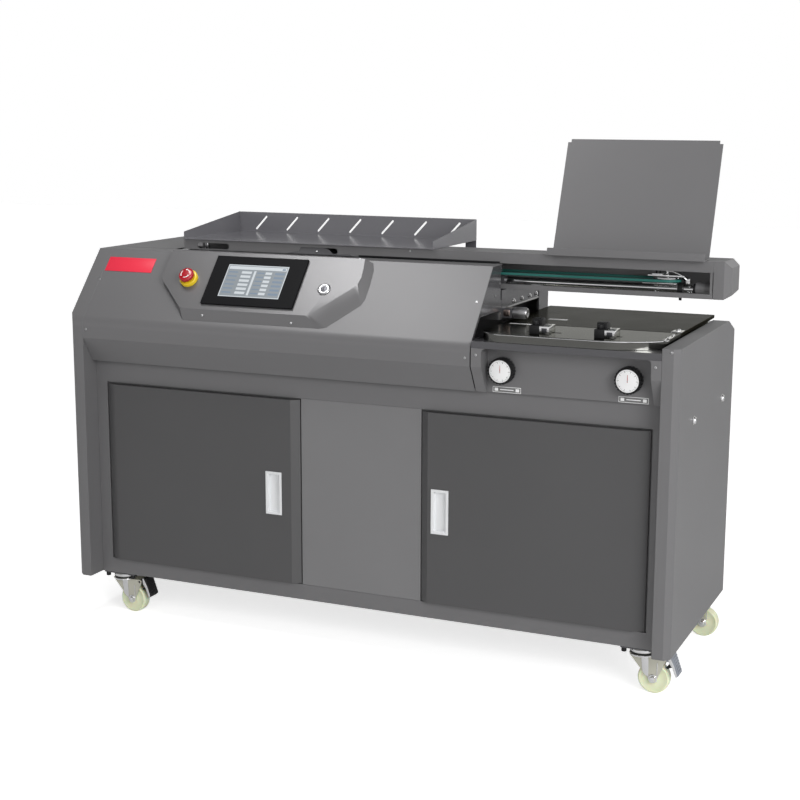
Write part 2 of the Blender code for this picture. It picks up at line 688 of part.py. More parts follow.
def build_door(name, opening, hinge_x, way, handle_inset):
    """A folded sheet, drawn from its hinge edge to its handle edge, with two hinge pins."""
    hinge_edge = hinge_x - way * DOOR_PIN_INSET
    handle_edge = (opening[1] if way > 0 else opening[0]) - way * DOOR_GAP_HANDLE
    face_y = FRAME_Y - DOOR_PROUD
    path = [(hinge_edge, FRAME_Y + DOOR_FLANGE), (hinge_edge, FRAME_Y),
            (hinge_edge + way * DOOR_BEVEL_HINGE, face_y), (handle_edge - way * DOOR_BEVEL_HANDLE, face_y),
            (handle_edge, FRAME_Y), (handle_edge, FRAME_Y + DOOR_FLANGE)]
    z = (OPENING_Z[0] + DOOR_GAP_BOTTOM, OPENING_Z[1] - DOOR_GAP_TOP)
    pivot = (hinge_x, door_pin_y(), z[0])
    door = solid(name, prism(path, "Z", z[0], z[1]), DOOR_GREY, pivot)
    hollow = shifted(path, way * SHEET)
    hollow = [(x, y + OVERRUN if y > FRAME_Y + DOOR_FLANGE / 2 else y) for x, y in hollow]
    cut(door, prism(hollow, "Z", z[0] + SHEET, z[1] - SHEET))
    for end, tip in ((z[0] + SHEET / 2, OPENING_Z[0] - DOOR_PIN_LENGTH),
                     (z[1] - SHEET / 2, OPENING_Z[1] + DOOR_PIN_LENGTH)):
        pin = circle((hinge_x, door_pin_y()), DOOR_PIN_R, SMALL_SIDES)
        join(door, prism(pin, "Z", min(end, tip), max(end, tip)))
    plate_x = sorted((handle_edge - way * handle_inset, handle_edge - way * (handle_inset + HANDLE_WIDTH)))
    plate_z = (HANDLE_Z, HANDLE_Z + HANDLE_HEIGHT)
    cup_x = widened(plate_x, -HANDLE_LIP)
    cup_z = widened(plate_z, -HANDLE_LIP)
    cut(door, block(widened(cup_x, GAP), (face_y - OVERRUN, face_y + SHEET + OVERRUN), widened(cup_z, GAP)))
    front_y = face_y - GAP - HANDLE_PLATE
    handle_pivot = (plate_x[0], face_y, HANDLE_Z)
    handle = solid(name + "_handle", block(plate_x, (front_y, face_y - GAP), plate_z), STEEL,
                   handle_pivot, door)
    join(handle, block(cup_x, (front_y + SINK, front_y + HANDLE_DEPTH), cup_z))
    cup_y = (front_y - OVERRUN, front_y + HANDLE_DEPTH - HANDLE_WALL)
    cut(handle, block(widened(cup_x, -HANDLE_WALL), cup_y, widened(cup_z, -HANDLE_WALL)))


def build_doors():
    left, right = door_openings()
    hinges = door_hinges()
    build_door("left_door", left, hinges[0][0], hinges[0][1], HANDLE_TO_EDGE_LEFT)
    build_door("right_door", right, hinges[1][0], hinges[1][1], HANDLE_TO_EDGE_RIGHT)


# Hood

END_WALL_X = (HOOD_RIGHT_X - END_WALL_THICKNESS - SHEET / 2, HOOD_RIGHT_X - SHEET / 2)


def build_hood():
    """The folded cover, on lugs that turn on the hinge rod."""
    pivot = (HOOD_RIGHT_X / 2, HINGE_Y, HINGE_Z)
    cover_x = (INNER_X, HOOD_RIGHT_X)
    hood = solid("hood_cover", prism(folded(hood_path(), -SHEET), "X", cover_x[0], cover_x[1]), BODY_GREY,
                 pivot)
    span = END_WALL_X[0] - INNER_X
    for share in HINGE_LUG_SHARES:
        x = INNER_X + share * span - HINGE_LUG_WIDTH / 2
        lug_x = (x, x + HINGE_LUG_WIDTH)
        join(hood, block(lug_x, (HINGE_Y - HINGE_LUG_R, HINGE_Y), (HINGE_Z, HOOD_TOP_Z - SHEET / 2)))
        join(hood, prism(circle((HINGE_Y, HINGE_Z), HINGE_LUG_R + SINK / 2), "X", lug_x[0], lug_x[1]))
    cut(hood, prism(circle((HINGE_Y, HINGE_Z), HINGE_ROD_R + GAP, SMALL_SIDES), "X", INNER_X - OVERRUN,
                    HOOD_RIGHT_X + OVERRUN))
    rod = [(0.0, INNER_X), (HINGE_ROD_R, INNER_X), (HINGE_ROD_R, END_WALL_X[1]), (0.0, END_WALL_X[1])]
    solid("hood_hinge_rod", turned(rod, "X", (HINGE_Y, HINGE_Z), SMALL_SIDES), STEEL, smooth=True)
    return hood


def build_end_wall():
    """The wall at the hood's right end, open where the clamp carriage passes."""
    inner = shifted(hood_path(), -SHEET - GAP)
    lip, band = inner[0], inner[1]
    share = (SHELF_TOP_Z + GAP - lip[1]) / (band[1] - lip[1])
    foot = (lip[0] + share * (band[0] - lip[0]), SHELF_TOP_Z + GAP)
    top_z = inner[-1][1]
    rear_top = HOOD_TOP_Z - SHEET - GAP
    boss = arc((HINGE_Y, HINGE_Z), top_z - HINGE_Z, 90.0, -30.0)
    leg_y = (SHEET + GAP) / math.sin(SLOPE_ANGLE) + END_WALL_LEG
    leg = [(slope_y(z) + leg_y, z) for z in (CHEEK_LOW_Z, DECK_Z)]
    passage_y = CARRIAGE_Y + CARRIAGE_DEPTH + PASSAGE_CLEARANCE
    outline = [foot, *inner[1:-1], *boss, (CHEEK_REAR_Y, CHEEK_NECK_Z), (CHEEK_REAR_Y, CHEEK_LOW_Z),
               *leg, (passage_y, DECK_Z), (passage_y, BEAM_LOW_Z),
               (BEAM_REAR_Y + GAP, BEAM_LOW_Z), (BEAM_REAR_Y + GAP, rear_top), (INNER_REAR_Y, rear_top),
               (INNER_REAR_Y, SHELF_TOP_Z + GAP)]
    bore = circle((HINGE_Y, HINGE_Z), HINGE_ROD_R + GAP, SMALL_SIDES)
    solid("hood_right_end", prism(outline, "X", END_WALL_X[0], END_WALL_X[1], holes=(bore,)), DOOR_GREY)


def build_top_plate():
    """The fixed plate behind the hood, cut back round the beam."""
    z = (HOOD_TOP_Z - SHEET, HOOD_TOP_Z)
    outline = [(INNER_X, TOP_PLATE_Y), (POST_X - GAP, TOP_PLATE_Y), (POST_X - GAP, BEAM_REAR_Y + GAP),
               (HOOD_RIGHT_X - SHEET, BEAM_REAR_Y + GAP), (HOOD_RIGHT_X - SHEET, CABINET_DEPTH),
               (INNER_X, CABINET_DEPTH)]
    solid("rear_top_plate", prism(outline, "Z", z[0], z[1]), BODY_GREY)


# Control pod. Its places are counted across and up the slope, and off it.

def build_pod(hood):
    slope = bpy.data.objects.new("slope", None)
    slope.parent = hood
    start_y = SLOPE_START * math.cos(SLOPE_ANGLE)
    start_z = HOOD_CORNER_Z + SLOPE_START * math.sin(SLOPE_ANGLE)
    slope.location = Vector((0.0, start_y, start_z)) - origins[hood.name]
    slope.rotation_euler = (SLOPE_ANGLE, 0.0, 0.0)
    bpy.context.scene.collection.objects.link(slope)
    origins["slope"] = Vector((0.0, 0.0, 0.0))
    base = [(POD_X + a * POD_WIDTH, b * POD_LENGTH) for a, b in POD_BASE_SHARES]
    face = [(POD_X + a * POD_WIDTH, b * POD_LENGTH) for a, b in POD_FACE_SHARES]
    pod = solid("control_pod", loft(base, GAP, face, POD_LIFT), BODY_GREY, parent=slope)
    cut(pod, loft(inset(base, SHEET * 2), -OVERRUN, inset(face, SHEET * 2), POD_LIFT - SHEET), slope)
    for x, s, radius in ((STOP_X, STOP_S, STOP_STEM_R), (KEY_X, KEY_S, KEY_BARREL_R)):
        cut(pod, prism(circle((x, s), radius + RUN), "Z", -OVERRUN, POD_LIFT + OVERRUN), slope)
    face_h = POD_LIFT + GAP

    bezel_x = (BEZEL_X, BEZEL_X + BEZEL_WIDTH)
    bezel_s = (BEZEL_S, BEZEL_S + BEZEL_HEIGHT)
    bezel = solid("touch_screen_bezel", block(bezel_x, bezel_s, (face_h, face_h + BEZEL_THICKNESS)), BLACK,
                  parent=slope)
    screen_x = (BEZEL_X + SCREEN_MARGIN_LEFT, BEZEL_X + SCREEN_MARGIN_LEFT + SCREEN_WIDTH)
    screen_s = (BEZEL_S + SCREEN_MARGIN_LOW, BEZEL_S + SCREEN_MARGIN_LOW + SCREEN_HEIGHT)
    cut(bezel, block(screen_x, screen_s, (face_h + BEZEL_THICKNESS - SCREEN_RECESS,
                                          face_h + BEZEL_THICKNESS + OVERRUN)), slope)

    ring_top = face_h + STOP_RING_THICKNESS
    bore = STOP_STEM_R + RUN
    ring = [(bore, face_h), (STOP_RING_R, face_h), (STOP_RING_R, ring_top - DIAL_EDGE),
            (STOP_RING_R - DIAL_EDGE, ring_top), (bore, ring_top)]
    solid("emergency_stop_ring", turned(ring, "Z", (STOP_X, STOP_S), ROUND_SIDES), YELLOW, parent=slope,
          smooth=True)
    head = ring_top + STOP_TRAVEL + RUN
    top = head + STOP_HEAD_THICKNESS
    button = [(0.0, ring_top - STOP_TAIL), (STOP_STEM_R, ring_top - STOP_TAIL), (STOP_STEM_R, head),
              (STOP_HEAD_R, head), (STOP_HEAD_R, top - DIAL_EDGE * 2), (STOP_HEAD_R - DIAL_EDGE * 2, top),
              (0.0, top)]
    solid("emergency_stop_button", turned(button, "Z", (STOP_X, STOP_S), ROUND_SIDES), RED,
          (STOP_X, STOP_S, ring_top), slope, smooth=True)

    collar = face_h + KEY_COLLAR_THICKNESS
    barrel = [(0.0, SHEET), (KEY_BARREL_R, SHEET), (KEY_BARREL_R, face_h), (KEY_COLLAR_R, face_h),
              (KEY_COLLAR_R, collar), (0.0, collar)]
    key = solid("key_switch_barrel", turned(barrel, "Z", (KEY_X, KEY_S), ROUND_SIDES), CHROME,
                (KEY_X, KEY_S, face_h), slope, smooth=True)
    blade_x = (KEY_X - KEY_BLADE_WIDTH / 2, KEY_X + KEY_BLADE_WIDTH / 2)
    blade_s = (KEY_S - KEY_BLADE_LENGTH / 2, KEY_S + KEY_BLADE_LENGTH / 2)
    join(key, block(blade_x, blade_s, (collar - SINK, collar + KEY_BLADE_HEIGHT)), slope)


# Right block

BLOCK_RIGHT_X = INNER_RIGHT_X
DIAL_X = (BLOCK_X + DIAL_INSET_LEFT, BLOCK_RIGHT_X - DIAL_INSET_RIGHT)
STOP_BLOCK_X = (BLOCK_X + TABLE_X_INSET + STOP_BLOCK_LEFT_INSET,
                BLOCK_X + TABLE_X_INSET + TABLE_WIDTH - STOP_BLOCK_RIGHT_INSET - STOP_BLOCK_WIDTH)
STOP_TRAVELS = (STOP_TRAVEL_LEFT, STOP_TRAVEL_RIGHT)
MIDDLE_LUG_X = (BLOCK_X + MIDDLE_LUG_FROM_BLOCK, BLOCK_X + MIDDLE_LUG_FROM_BLOCK + MIDDLE_LUG_THICKNESS)


def stop_arm(index):
    """The x of a stop's arm, which reaches down to its lead screw."""
    middle = STOP_BLOCK_X[index] + STOP_BLOCK_WIDTH / 2
    return (middle - STOP_ARM_WIDTH / 2, middle + STOP_ARM_WIDTH / 2)


def stop_slot(index):
    """The slot that a stop's arm runs in."""
    return rectangle(widened(stop_arm(index), STOP_TRAVELS[index] + RUN),
                     widened((STOP_ARM_Y, STOP_ARM_Y + STOP_ARM_DEPTH), RUN))


def build_fascia():
    """The front of the right block: two posts, a sunk panel between them and a lip of the deck above."""
    under_deck = DECK_Z - DECK_PLATE - GAP
    rear_y = FASCIA_RECESS + FASCIA_WALL
    profile = [(0.0, HOOD_BAND_Z), (0.0, BLOCK_LIP_Z - GAP), (BLOCK_LIP_DEPTH + GAP, BLOCK_LIP_Z - GAP),
               (BLOCK_LIP_DEPTH + GAP, under_deck), (rear_y, under_deck), (rear_y, SHELF_Z),
               (UNDERCUT_Y, SHELF_Z)]
    fascia = solid("dial_fascia", prism(profile, "X", BLOCK_X, BLOCK_RIGHT_X), BODY_GREY)
    left = BLOCK_X + FASCIA_POST_LEFT
    right = BLOCK_RIGHT_X - FASCIA_POST_RIGHT
    round_z = BLOCK_LIP_Z - FASCIA_ROUND
    recess = [(left, FRAME_TOP_Z - OVERRUN), *arc((left + FASCIA_ROUND, round_z), FASCIA_ROUND, 180, 90),
              *arc((right - FASCIA_ROUND, round_z), FASCIA_ROUND, 90, 0), (right, FRAME_TOP_Z - OVERRUN)]
    cut(fascia, prism(recess, "Y", -OVERRUN, FASCIA_RECESS))
    for x in DIAL_X:
        bore = circle((x, DIAL_Z), SHAFT_R + RUN)
        cut(fascia, prism(bore, "Y", FASCIA_RECESS - OVERRUN, rear_y + OVERRUN))


def bearing_lugs():
    """The x of each lug that hangs under the deck and carries a lead screw."""
    first = DIAL_X[0] + BEVEL_OUTER + LUG_AFTER_BEVEL
    last = DIAL_X[1] - BEVEL_OUTER - LUG_AFTER_BEVEL
    return ((first, first + LUG_THICKNESS), MIDDLE_LUG_X, (last - LUG_THICKNESS, last))


def build_deck_plate():
    under = DECK_Z - DECK_PLATE
    rear_y = INNER_REAR_Y + SHEET
    profile = [(0.0, BLOCK_LIP_Z), (0.0, DECK_Z), (rear_y, DECK_Z), (rear_y, under),
               (BLOCK_LIP_DEPTH, under), (BLOCK_LIP_DEPTH, BLOCK_LIP_Z)]
    deck = solid("deck_plate", prism(profile, "X", BLOCK_X, BLOCK_RIGHT_X), STEEL)
    for lug in bearing_lugs():
        join(deck, block(lug, (SCREW_Y - LUG_DEPTH / 2, SCREW_Y + LUG_DEPTH / 2),
                         (DIAL_Z - LUG_DROP, DECK_Z - DECK_PLATE / 2)))
    cut(deck, prism(circle((SCREW_Y, DIAL_Z), SHAFT_R + RUN), "X", DIAL_X[0], DIAL_X[1]))
    for index in (0, 1):
        cut(deck, prism(stop_slot(index), "Z", under - OVERRUN, DECK_Z + OVERRUN))


def table_outline():
    """The table's plan: a straight front edge and two unlike rounded corners."""
    left = BLOCK_X + TABLE_X_INSET
    right = left + TABLE_WIDTH
    rear = TABLE_Y + TABLE_DEPTH

    def corner(centre_x, reach_x, reach_y, start, end):
        points = []
        for i in range(ARC_STEPS * 2 + 1):
            angle = math.radians(start + (end - start) * i / (ARC_STEPS * 2))
            power = 2.0 / TABLE_ROUND_POWER
            across = math.copysign(abs(math.cos(angle)) ** power, math.cos(angle))
            points.append((centre_x + reach_x * across,
                           TABLE_Y + reach_y * (1.0 - abs(math.sin(angle)) ** power)))
        return points

    first = corner(left + TABLE_ROUND_LEFT, TABLE_ROUND_LEFT, TABLE_ROUND_LEFT_DEPTH, 180, 90)
    second = corner(right - TABLE_ROUND_RIGHT, TABLE_ROUND_RIGHT, TABLE_ROUND_RIGHT_DEPTH, 90, 0)
    return [(left, rear), *first, *second, (right, rear)]


def build_table():
    outline = table_outline()
    z = (DECK_Z + GAP, TABLE_TOP_Z)
    table = solid("cover_table", prism(outline, "Z", z[0], z[1]), STEEL)
    cut(table, prism(inset(outline, TABLE_WALL), "Z", z[0] - OVERRUN, z[1] - TABLE_WALL))
    for index in (0, 1):
        cut(table, prism(stop_slot(index), "Z", z[0] - OVERRUN, z[1] + OVERRUN))


def build_nip_plate():
    """The rear nipping plate, which slides back on two runners."""
    x = (BLOCK_X + TABLE_X_INSET, BLOCK_X + TABLE_X_INSET + TABLE_WIDTH)
    y = (NIP_Y, NIP_Y + NIP_DEPTH)
    plate_z = (TABLE_TOP_Z - NIP_PLATE, TABLE_TOP_Z)
    plate = solid("rear_nip_plate", block(x, y, plate_z), STEEL, (x[0], NIP_Y, DECK_Z))
    low = DECK_Z + GAP
    join(plate, block(widened(x, -SINK), (NIP_Y + SINK / 2, NIP_Y + NIP_EDGE), (low, plate_z[1] - SINK)))
    for start in (x[0] + NIP_RUNNER_INSET, x[1] - NIP_RUNNER_INSET - NIP_RUNNER):
        runner_x = (start, start + NIP_RUNNER)
        join(plate, block(runner_x, (NIP_Y + SINK, y[1] - SINK), (low, plate_z[0] + SINK)))


def build_dials():
    """Each dial turns a lead screw through a pair of bevel gears, and the screw moves a stop."""
    front = FASCIA_RECESS - GAP - DIAL_DEPTH
    back = FASCIA_RECESS - GAP
    middle = (MIDDLE_LUG_X[0] + MIDDLE_LUG_X[1]) / 2
    names = ("left", "right")
    for index, x in enumerate(DIAL_X):
        way = 1.0 if index == 0 else -1.0
        gear = (SCREW_Y - BEVEL_OUTER, SCREW_Y - BEVEL_INNER)
        profile = [(0.0, front), (DIAL_R - DIAL_EDGE, front), (DIAL_R, front + DIAL_EDGE), (DIAL_R, back),
                   (SHAFT_R, back), (SHAFT_R, gear[0]), (BEVEL_OUTER - RUN, gear[0]),
                   (BEVEL_INNER - RUN, gear[1]), (0.0, gear[1])]
        solid(names[index] + "_dial_knob", turned(profile, "Y", (x, DIAL_Z), FINE_SIDES), BLACK,
              (x, front, DIAL_Z), smooth=True)
        far = middle - way * GAP
        profile = [(0.0, x + way * BEVEL_INNER), (BEVEL_INNER - RUN, x + way * BEVEL_INNER),
                   (BEVEL_OUTER - RUN, x + way * BEVEL_OUTER), (SHAFT_R, x + way * BEVEL_OUTER),
                   (SHAFT_R, far), (0.0, far)]
        solid(names[index] + "_lead_screw", turned(profile, "X", (SCREW_Y, DIAL_Z), ROUND_SIDES), STEEL,
              (x, SCREW_Y, DIAL_Z), smooth=True)
        build_stop(names[index] + "_side_stop", index)


def build_stop(name, index):
    block_x = (STOP_BLOCK_X[index], STOP_BLOCK_X[index] + STOP_BLOCK_WIDTH)
    arm = stop_arm(index)
    middle = (arm[0] + arm[1]) / 2
    low = TABLE_TOP_Z + GAP
    nut_y = (SCREW_Y - STOP_NUT_DEPTH / 2, SCREW_Y + STOP_NUT_DEPTH / 2)
    nut_x = (middle - STOP_NUT_WIDTH / 2, middle + STOP_NUT_WIDTH / 2)
    nut_z = (DIAL_Z - STOP_NUT_HEIGHT / 2, DIAL_Z + STOP_NUT_HEIGHT / 2)
    stop = solid(name, block(block_x, (STOP_BLOCK_Y, STOP_BLOCK_Y + STOP_BLOCK_DEPTH),
                             (low, STOP_BLOCK_TOP_Z)), BLACK, (middle, SCREW_Y, DIAL_Z))
    join(stop, block(arm, (STOP_ARM_Y, STOP_ARM_Y + STOP_ARM_DEPTH), (nut_z[0] + SINK, low + SINK)))
    join(stop, block(nut_x, nut_y, nut_z))
    cut(stop, prism(circle((SCREW_Y, DIAL_Z), SHAFT_R + RUN), "X", nut_x[0] - OVERRUN, nut_x[1] + OVERRUN))


# Beam

def build_beam():
    """A folded channel, open below and in front past the hood, with a low rail and two band slots."""
    inner_rear = BEAM_REAR_Y - BEAM_WALL
    profile = [(BEAM_Y, BAND_LOW_Z), (BEAM_Y, BEAM_TOP_Z), (BEAM_REAR_Y, BEAM_TOP_Z),
               (BEAM_REAR_Y, BEAM_LOW_Z), (BEAM_REAR_Y - BEAM_FLANGE, BEAM_LOW_Z),
               (BEAM_REAR_Y - BEAM_FLANGE, BEAM_LOW_Z + BEAM_WALL), (inner_rear, BEAM_LOW_Z + BEAM_WALL),
               (inner_rear, BEAM_TOP_Z - BEAM_WALL), (BEAM_INNER_Y, BEAM_TOP_Z - BEAM_WALL),
               (BEAM_INNER_Y, BAND_LOW_Z)]
    right = BEAM_CAP_X - GAP
    beam = solid("beam_housing", prism(profile, "X", BEAM_X, right), BODY_GREY)
    join(beam, block((RAIL_X, right - SINK), (BEAM_Y + SINK / 2, BEAM_Y + RAIL_DEPTH),
                     (BEAM_LOW_Z, BEAM_LOW_Z + RAIL_HEIGHT)))
    for x in (RAIL_X + SINK, right - SINK * 2 - RAIL_POST):
        join(beam, block((x, x + RAIL_POST), (BEAM_Y + SINK, BEAM_INNER_Y - SINK / 2),
                         (BEAM_LOW_Z + RAIL_HEIGHT / 2, BAND_LOW_Z + SINK)))
    for start, end in BAND_SLOTS:
        slot = [*arc((start + BAND_SLOT_R, BAND_SLOT_Z), BAND_SLOT_R, 90, 270),
                *arc((end - BAND_SLOT_R, BAND_SLOT_Z), BAND_SLOT_R, 270, 450)]
        cut(beam, prism(slot, "Y", BEAM_Y - OVERRUN, BEAM_INNER_Y + OVERRUN))


def build_beam_cap():
    """The block that closes the beam's right end and holds the rod in a boss."""
    bm = block((BEAM_CAP_X, BEAM_END_X), (BEAM_Y, BEAM_REAR_Y), (BEAM_LOW_Z, BEAM_TOP_Z))
    end = [edge for edge in bm.edges if all(vert.co.x > BEAM_END_X - SINK for vert in edge.verts)]
    corners = [edge for edge in end if any(vert.co.y < BEAM_Y + SINK for vert in edge.verts)]
    bmesh.ops.bevel(bm, geom=corners, offset=CAP_CHAMFER, segments=1, affect="EDGES")
    cap = solid("beam_end_cap", bm, BODY_GREY)
    boss_x = (BEAM_CAP_X - CAP_BOSS, BEAM_CAP_X + SINK)
    radius = ROD_R + CAP_BOSS_WALL
    join(cap, prism(circle((ROD_Y, ROD_Z + CAP_BOSS_WALL / 2), radius - CAP_BOSS_WALL / 2), "X",
                    boss_x[0], boss_x[1]))
    cut(cap, prism(circle((ROD_Y, ROD_Z), ROD_R + GAP), "X", boss_x[0] - OVERRUN, boss_x[0] + ROD_SEAT))


def build_drive():
    """Guide rod, belt with its two pulleys, and the post under the beam's left end."""
    post_rear = (POST_Y, POST_Y + POST_DEPTH)
    post = solid("left_drive_post", block((POST_X, POST_X + POST_FOOT), (POST_Y, BEAM_REAR_Y),
                                          (SHELF_TOP_Z + GAP, BEAM_LOW_Z - GAP)), DOOR_GREY)
    neck_x = (POST_X + SINK, POST_X + POST_NECK)
    join(post, block(neck_x, post_rear, (BEAM_LOW_Z - SINK - GAP, BELT_Z - GAP)))
    join(post, block((POST_X + SINK * 2, BEAM_X + SINK * 4), widened(post_rear, -SINK),
                     (BELT_Z - SINK * 2, HOOD_TOP_Z - SHEET - GAP)))
    rod_x = (POST_X + POST_NECK - ROD_SEAT + GAP, BEAM_CAP_X - CAP_BOSS + ROD_SEAT - GAP)
    cut(post, prism(circle((ROD_Y, ROD_Z), ROD_R + GAP), "X", rod_x[0] - GAP, POST_X + POST_NECK + OVERRUN))
    rod = [(0.0, rod_x[0]), (ROD_R, rod_x[0]), (ROD_R, rod_x[1]), (0.0, rod_x[1])]
    solid("guide_rod", turned(rod, "X", (ROD_Y, ROD_Z), ROUND_SIDES), CHROME, smooth=True)

    def run_round(radius):
        return [*arc((PULLEY_LEFT_X, PULLEY_Y), radius, 90, 270, SMALL_SIDES),
                *arc((PULLEY_RIGHT_X, PULLEY_Y), radius, 270, 450, SMALL_SIDES)]

    inner = PULLEY_R + RUN
    solid("drive_belt", prism(run_round(inner + BELT_THICKNESS), "Z", BELT_Z, BELT_Z + BELT_WIDTH,
                              holes=(run_round(inner),)), BELT_GREEN)
    hub_top = BEAM_TOP_Z - BEAM_WALL - GAP
    for name, x in (("left_belt_pulley", PULLEY_LEFT_X), ("right_belt_pulley", PULLEY_RIGHT_X)):
        profile = [(0.0, BELT_Z), (PULLEY_R, BELT_Z), (PULLEY_R, BELT_Z + PULLEY_WIDTH),
                   (DRIVE_SHAFT_R, BELT_Z + PULLEY_WIDTH), (DRIVE_SHAFT_R, hub_top), (0.0, hub_top)]
        solid(name, turned(profile, "Z", (x, PULLEY_Y), FINE_SIDES), CHROME, (x, PULLEY_Y, BELT_Z),
              smooth=True)


# Clamp carriage

def build_carriage():
    x = (CARRIAGE_X, CARRIAGE_RIGHT_X)
    y = (CARRIAGE_Y, CARRIAGE_Y + CARRIAGE_DEPTH)
    pivot = (CARRIAGE_RIGHT_X, ROD_Y, ROD_Z)
    carriage = solid("carriage", block(x, y, (CARRIAGE_PLATE_Z, CARRIAGE_PLATE_TOP_Z)), DOOR_GREY, pivot)
    bearing_x = (x[1] - CARRIAGE_END - BEARING_LENGTH, x[1] - CARRIAGE_END)
    bearing_y = (ROD_Y - ROD_R - BEARING_WALL, ROD_Y + ROD_R + BEARING_WALL)
    join(carriage, block(bearing_x, bearing_y, (CARRIAGE_PLATE_TOP_Z - SINK, BEARING_TOP_Z)))
    join(carriage, block((x[1] - CARRIAGE_END, x[1] - SINK / 2), (y[0] + SINK, y[1] - SINK),
                         (CARRIAGE_END_LOW_Z, CARRIAGE_PLATE_TOP_Z - SINK)))
    jaw_y = (REAR_JAW_Y, REAR_JAW_Y + REAR_JAW_DEPTH)
    join(carriage, block((x[0] + SINK, x[1] - SINK), jaw_y, (JAW_LOW_Z, CARRIAGE_PLATE_Z + SINK * 2)))
    clamp_y = (CARRIAGE_Y + SINK / 2, CARRIAGE_Y + CLAMP_BLOCK_DEPTH)
    join(carriage, block((x[1] - CARRIAGE_END - SINK, x[1] + CLAMP_BLOCK_WIDTH), clamp_y,
                         (CLAMP_BLOCK_Z, CLAMP_BLOCK_TOP_Z)))
    cut(carriage, prism(circle((ROD_Y, ROD_Z), ROD_R + GAP), "X", bearing_x[0] - OVERRUN,
                        bearing_x[1] + OVERRUN))
    jaw_z = (FRONT_JAW_Z + FRONT_JAW_TOP_Z) / 2
    pins = (x[0] + JAW_PIN_INSET, x[1] - JAW_PIN_INSET)
    for pin in pins:
        bore = circle((pin, jaw_z), JAW_PIN_R + RUN)
        cut(carriage, prism(bore, "Y", jaw_y[0] - OVERRUN, jaw_y[1] + OVERRUN))
    knob_y = CARRIAGE_Y + CLAMP_BLOCK_DEPTH / 2
    knob_z = (CLAMP_BLOCK_Z + CLAMP_BLOCK_TOP_Z) / 2
    seat = (x[1] + SHEET, x[1] + CLAMP_BLOCK_WIDTH)
    cut(carriage, prism(circle((knob_y, knob_z), CLAMP_KNOB_NECK_R + RUN), "X", seat[0], seat[1] + OVERRUN))

    jaw = solid("front_clamp_jaw", block((x[0], x[1] + FRONT_JAW_REACH),
                                         (FRONT_JAW_Y, FRONT_JAW_Y + FRONT_JAW_DEPTH),
                                         (FRONT_JAW_Z, FRONT_JAW_TOP_Z)), STEEL, (x[0], FRONT_JAW_Y, jaw_z),
                carriage)
    for pin in pins:
        join(jaw, prism(circle((pin, jaw_z), JAW_PIN_R), "Y", FRONT_JAW_Y + FRONT_JAW_DEPTH - SINK,
                        FRONT_JAW_Y + FRONT_JAW_DEPTH + JAW_PIN_LENGTH))
    knob = seat[1] + GAP
    profile = [(0.0, seat[0] + GAP), (CLAMP_KNOB_NECK_R, seat[0] + GAP), (CLAMP_KNOB_NECK_R, knob),
               (CLAMP_KNOB_R, knob), (CLAMP_KNOB_R, knob + CLAMP_KNOB_LENGTH - DIAL_EDGE),
               (CLAMP_KNOB_R - DIAL_EDGE, knob + CLAMP_KNOB_LENGTH), (0.0, knob + CLAMP_KNOB_LENGTH)]
    solid("clamp_knob", turned(profile, "X", (knob_y, knob_z), ROUND_SIDES), BLACK, (knob, knob_y, knob_z),
          carriage, smooth=True)


# Tray and reading board

def build_tray():
    x = (TRAY_X, TRAY_X + TRAY_WIDTH)
    y = (TRAY_Y, TRAY_Y + TRAY_DEPTH)
    floor = BEAM_TOP_Z + GAP
    foot_z = HOOD_TOP_Z + GAP
    top = floor + TRAY_REAR_HEIGHT
    side = [(y[0], floor), (y[1], floor), (y[1], top), (y[0], floor + TRAY_FRONT_HEIGHT)]
    tray = solid("collecting_tray", prism(side, "X", x[0], x[1]), BLACK)
    inner_y = (y[0] - OVERRUN, y[1] - TRAY_WALL)
    cut(tray, block(widened(x, -TRAY_WALL), inner_y, (floor + TRAY_WALL, top + OVERRUN)))
    foot_y = widened((y[1] - TRAY_WALL, y[1]), -GAP)
    for start in (x[0] + GAP, x[1] - GAP - TRAY_FOOT):
        join(tray, block((start, start + TRAY_FOOT), foot_y, (foot_z, floor + TRAY_WALL / 2)))
    for i in range(TRAY_SLOTS):
        low = (x[0] + TRAY_SLOT_FIRST + i * TRAY_SLOT_PITCH, floor + TRAY_SLOT_LOW)
        high = (low[0] + TRAY_SLOT_RUN, low[1] + TRAY_SLOT_RISE)
        lean = math.degrees(math.atan2(TRAY_SLOT_RISE, TRAY_SLOT_RUN))
        radius = TRAY_SLOT_WIDTH / 2
        slot = [*arc(low, radius, lean + 90, lean + 270, 3), *arc(high, radius, lean - 90, lean + 90, 3)]
        cut(tray, prism(slot, "Y", y[1] - TRAY_WALL - OVERRUN, y[1] + OVERRUN))


def build_board():
    """A lip, a ledge and a leaning board, folded from one sheet."""
    floor = BEAM_TOP_Z + GAP
    ledge = floor + BOARD_SHEET
    foot_y = BOARD_Y + BOARD_LEDGE
    top = (foot_y + BOARD_RUN, ledge + BOARD_RISE)
    path = [(BOARD_Y, floor + BOARD_LIP), (BOARD_Y, floor), (foot_y + BOARD_SHEET, floor),
            (top[0] + BOARD_SHEET, top[1])]
    bm = prism(folded(path, BOARD_SHEET), "X", BOARD_X, BOARD_X + BOARD_WIDTH)
    lean = Vector((0.0, BOARD_RUN, BOARD_RISE)).normalized()
    reach = lean.y * top[0] + lean.z * top[1] - BOARD_SHEET * 2

    def at_top(edge):
        ends = [vert.co for vert in edge.verts]
        high = all(lean.y * co.y + lean.z * co.z > reach for co in ends)
        return high and abs(ends[0].x - ends[1].x) < SINK

    corners = [edge for edge in bm.edges if at_top(edge)]
    bmesh.ops.bevel(bm, geom=corners, offset=BOARD_ROUND, segments=ARC_STEPS - 1, affect="EDGES")
    solid("reading_board", bm, BODY_GREY)


# Stations under the hood

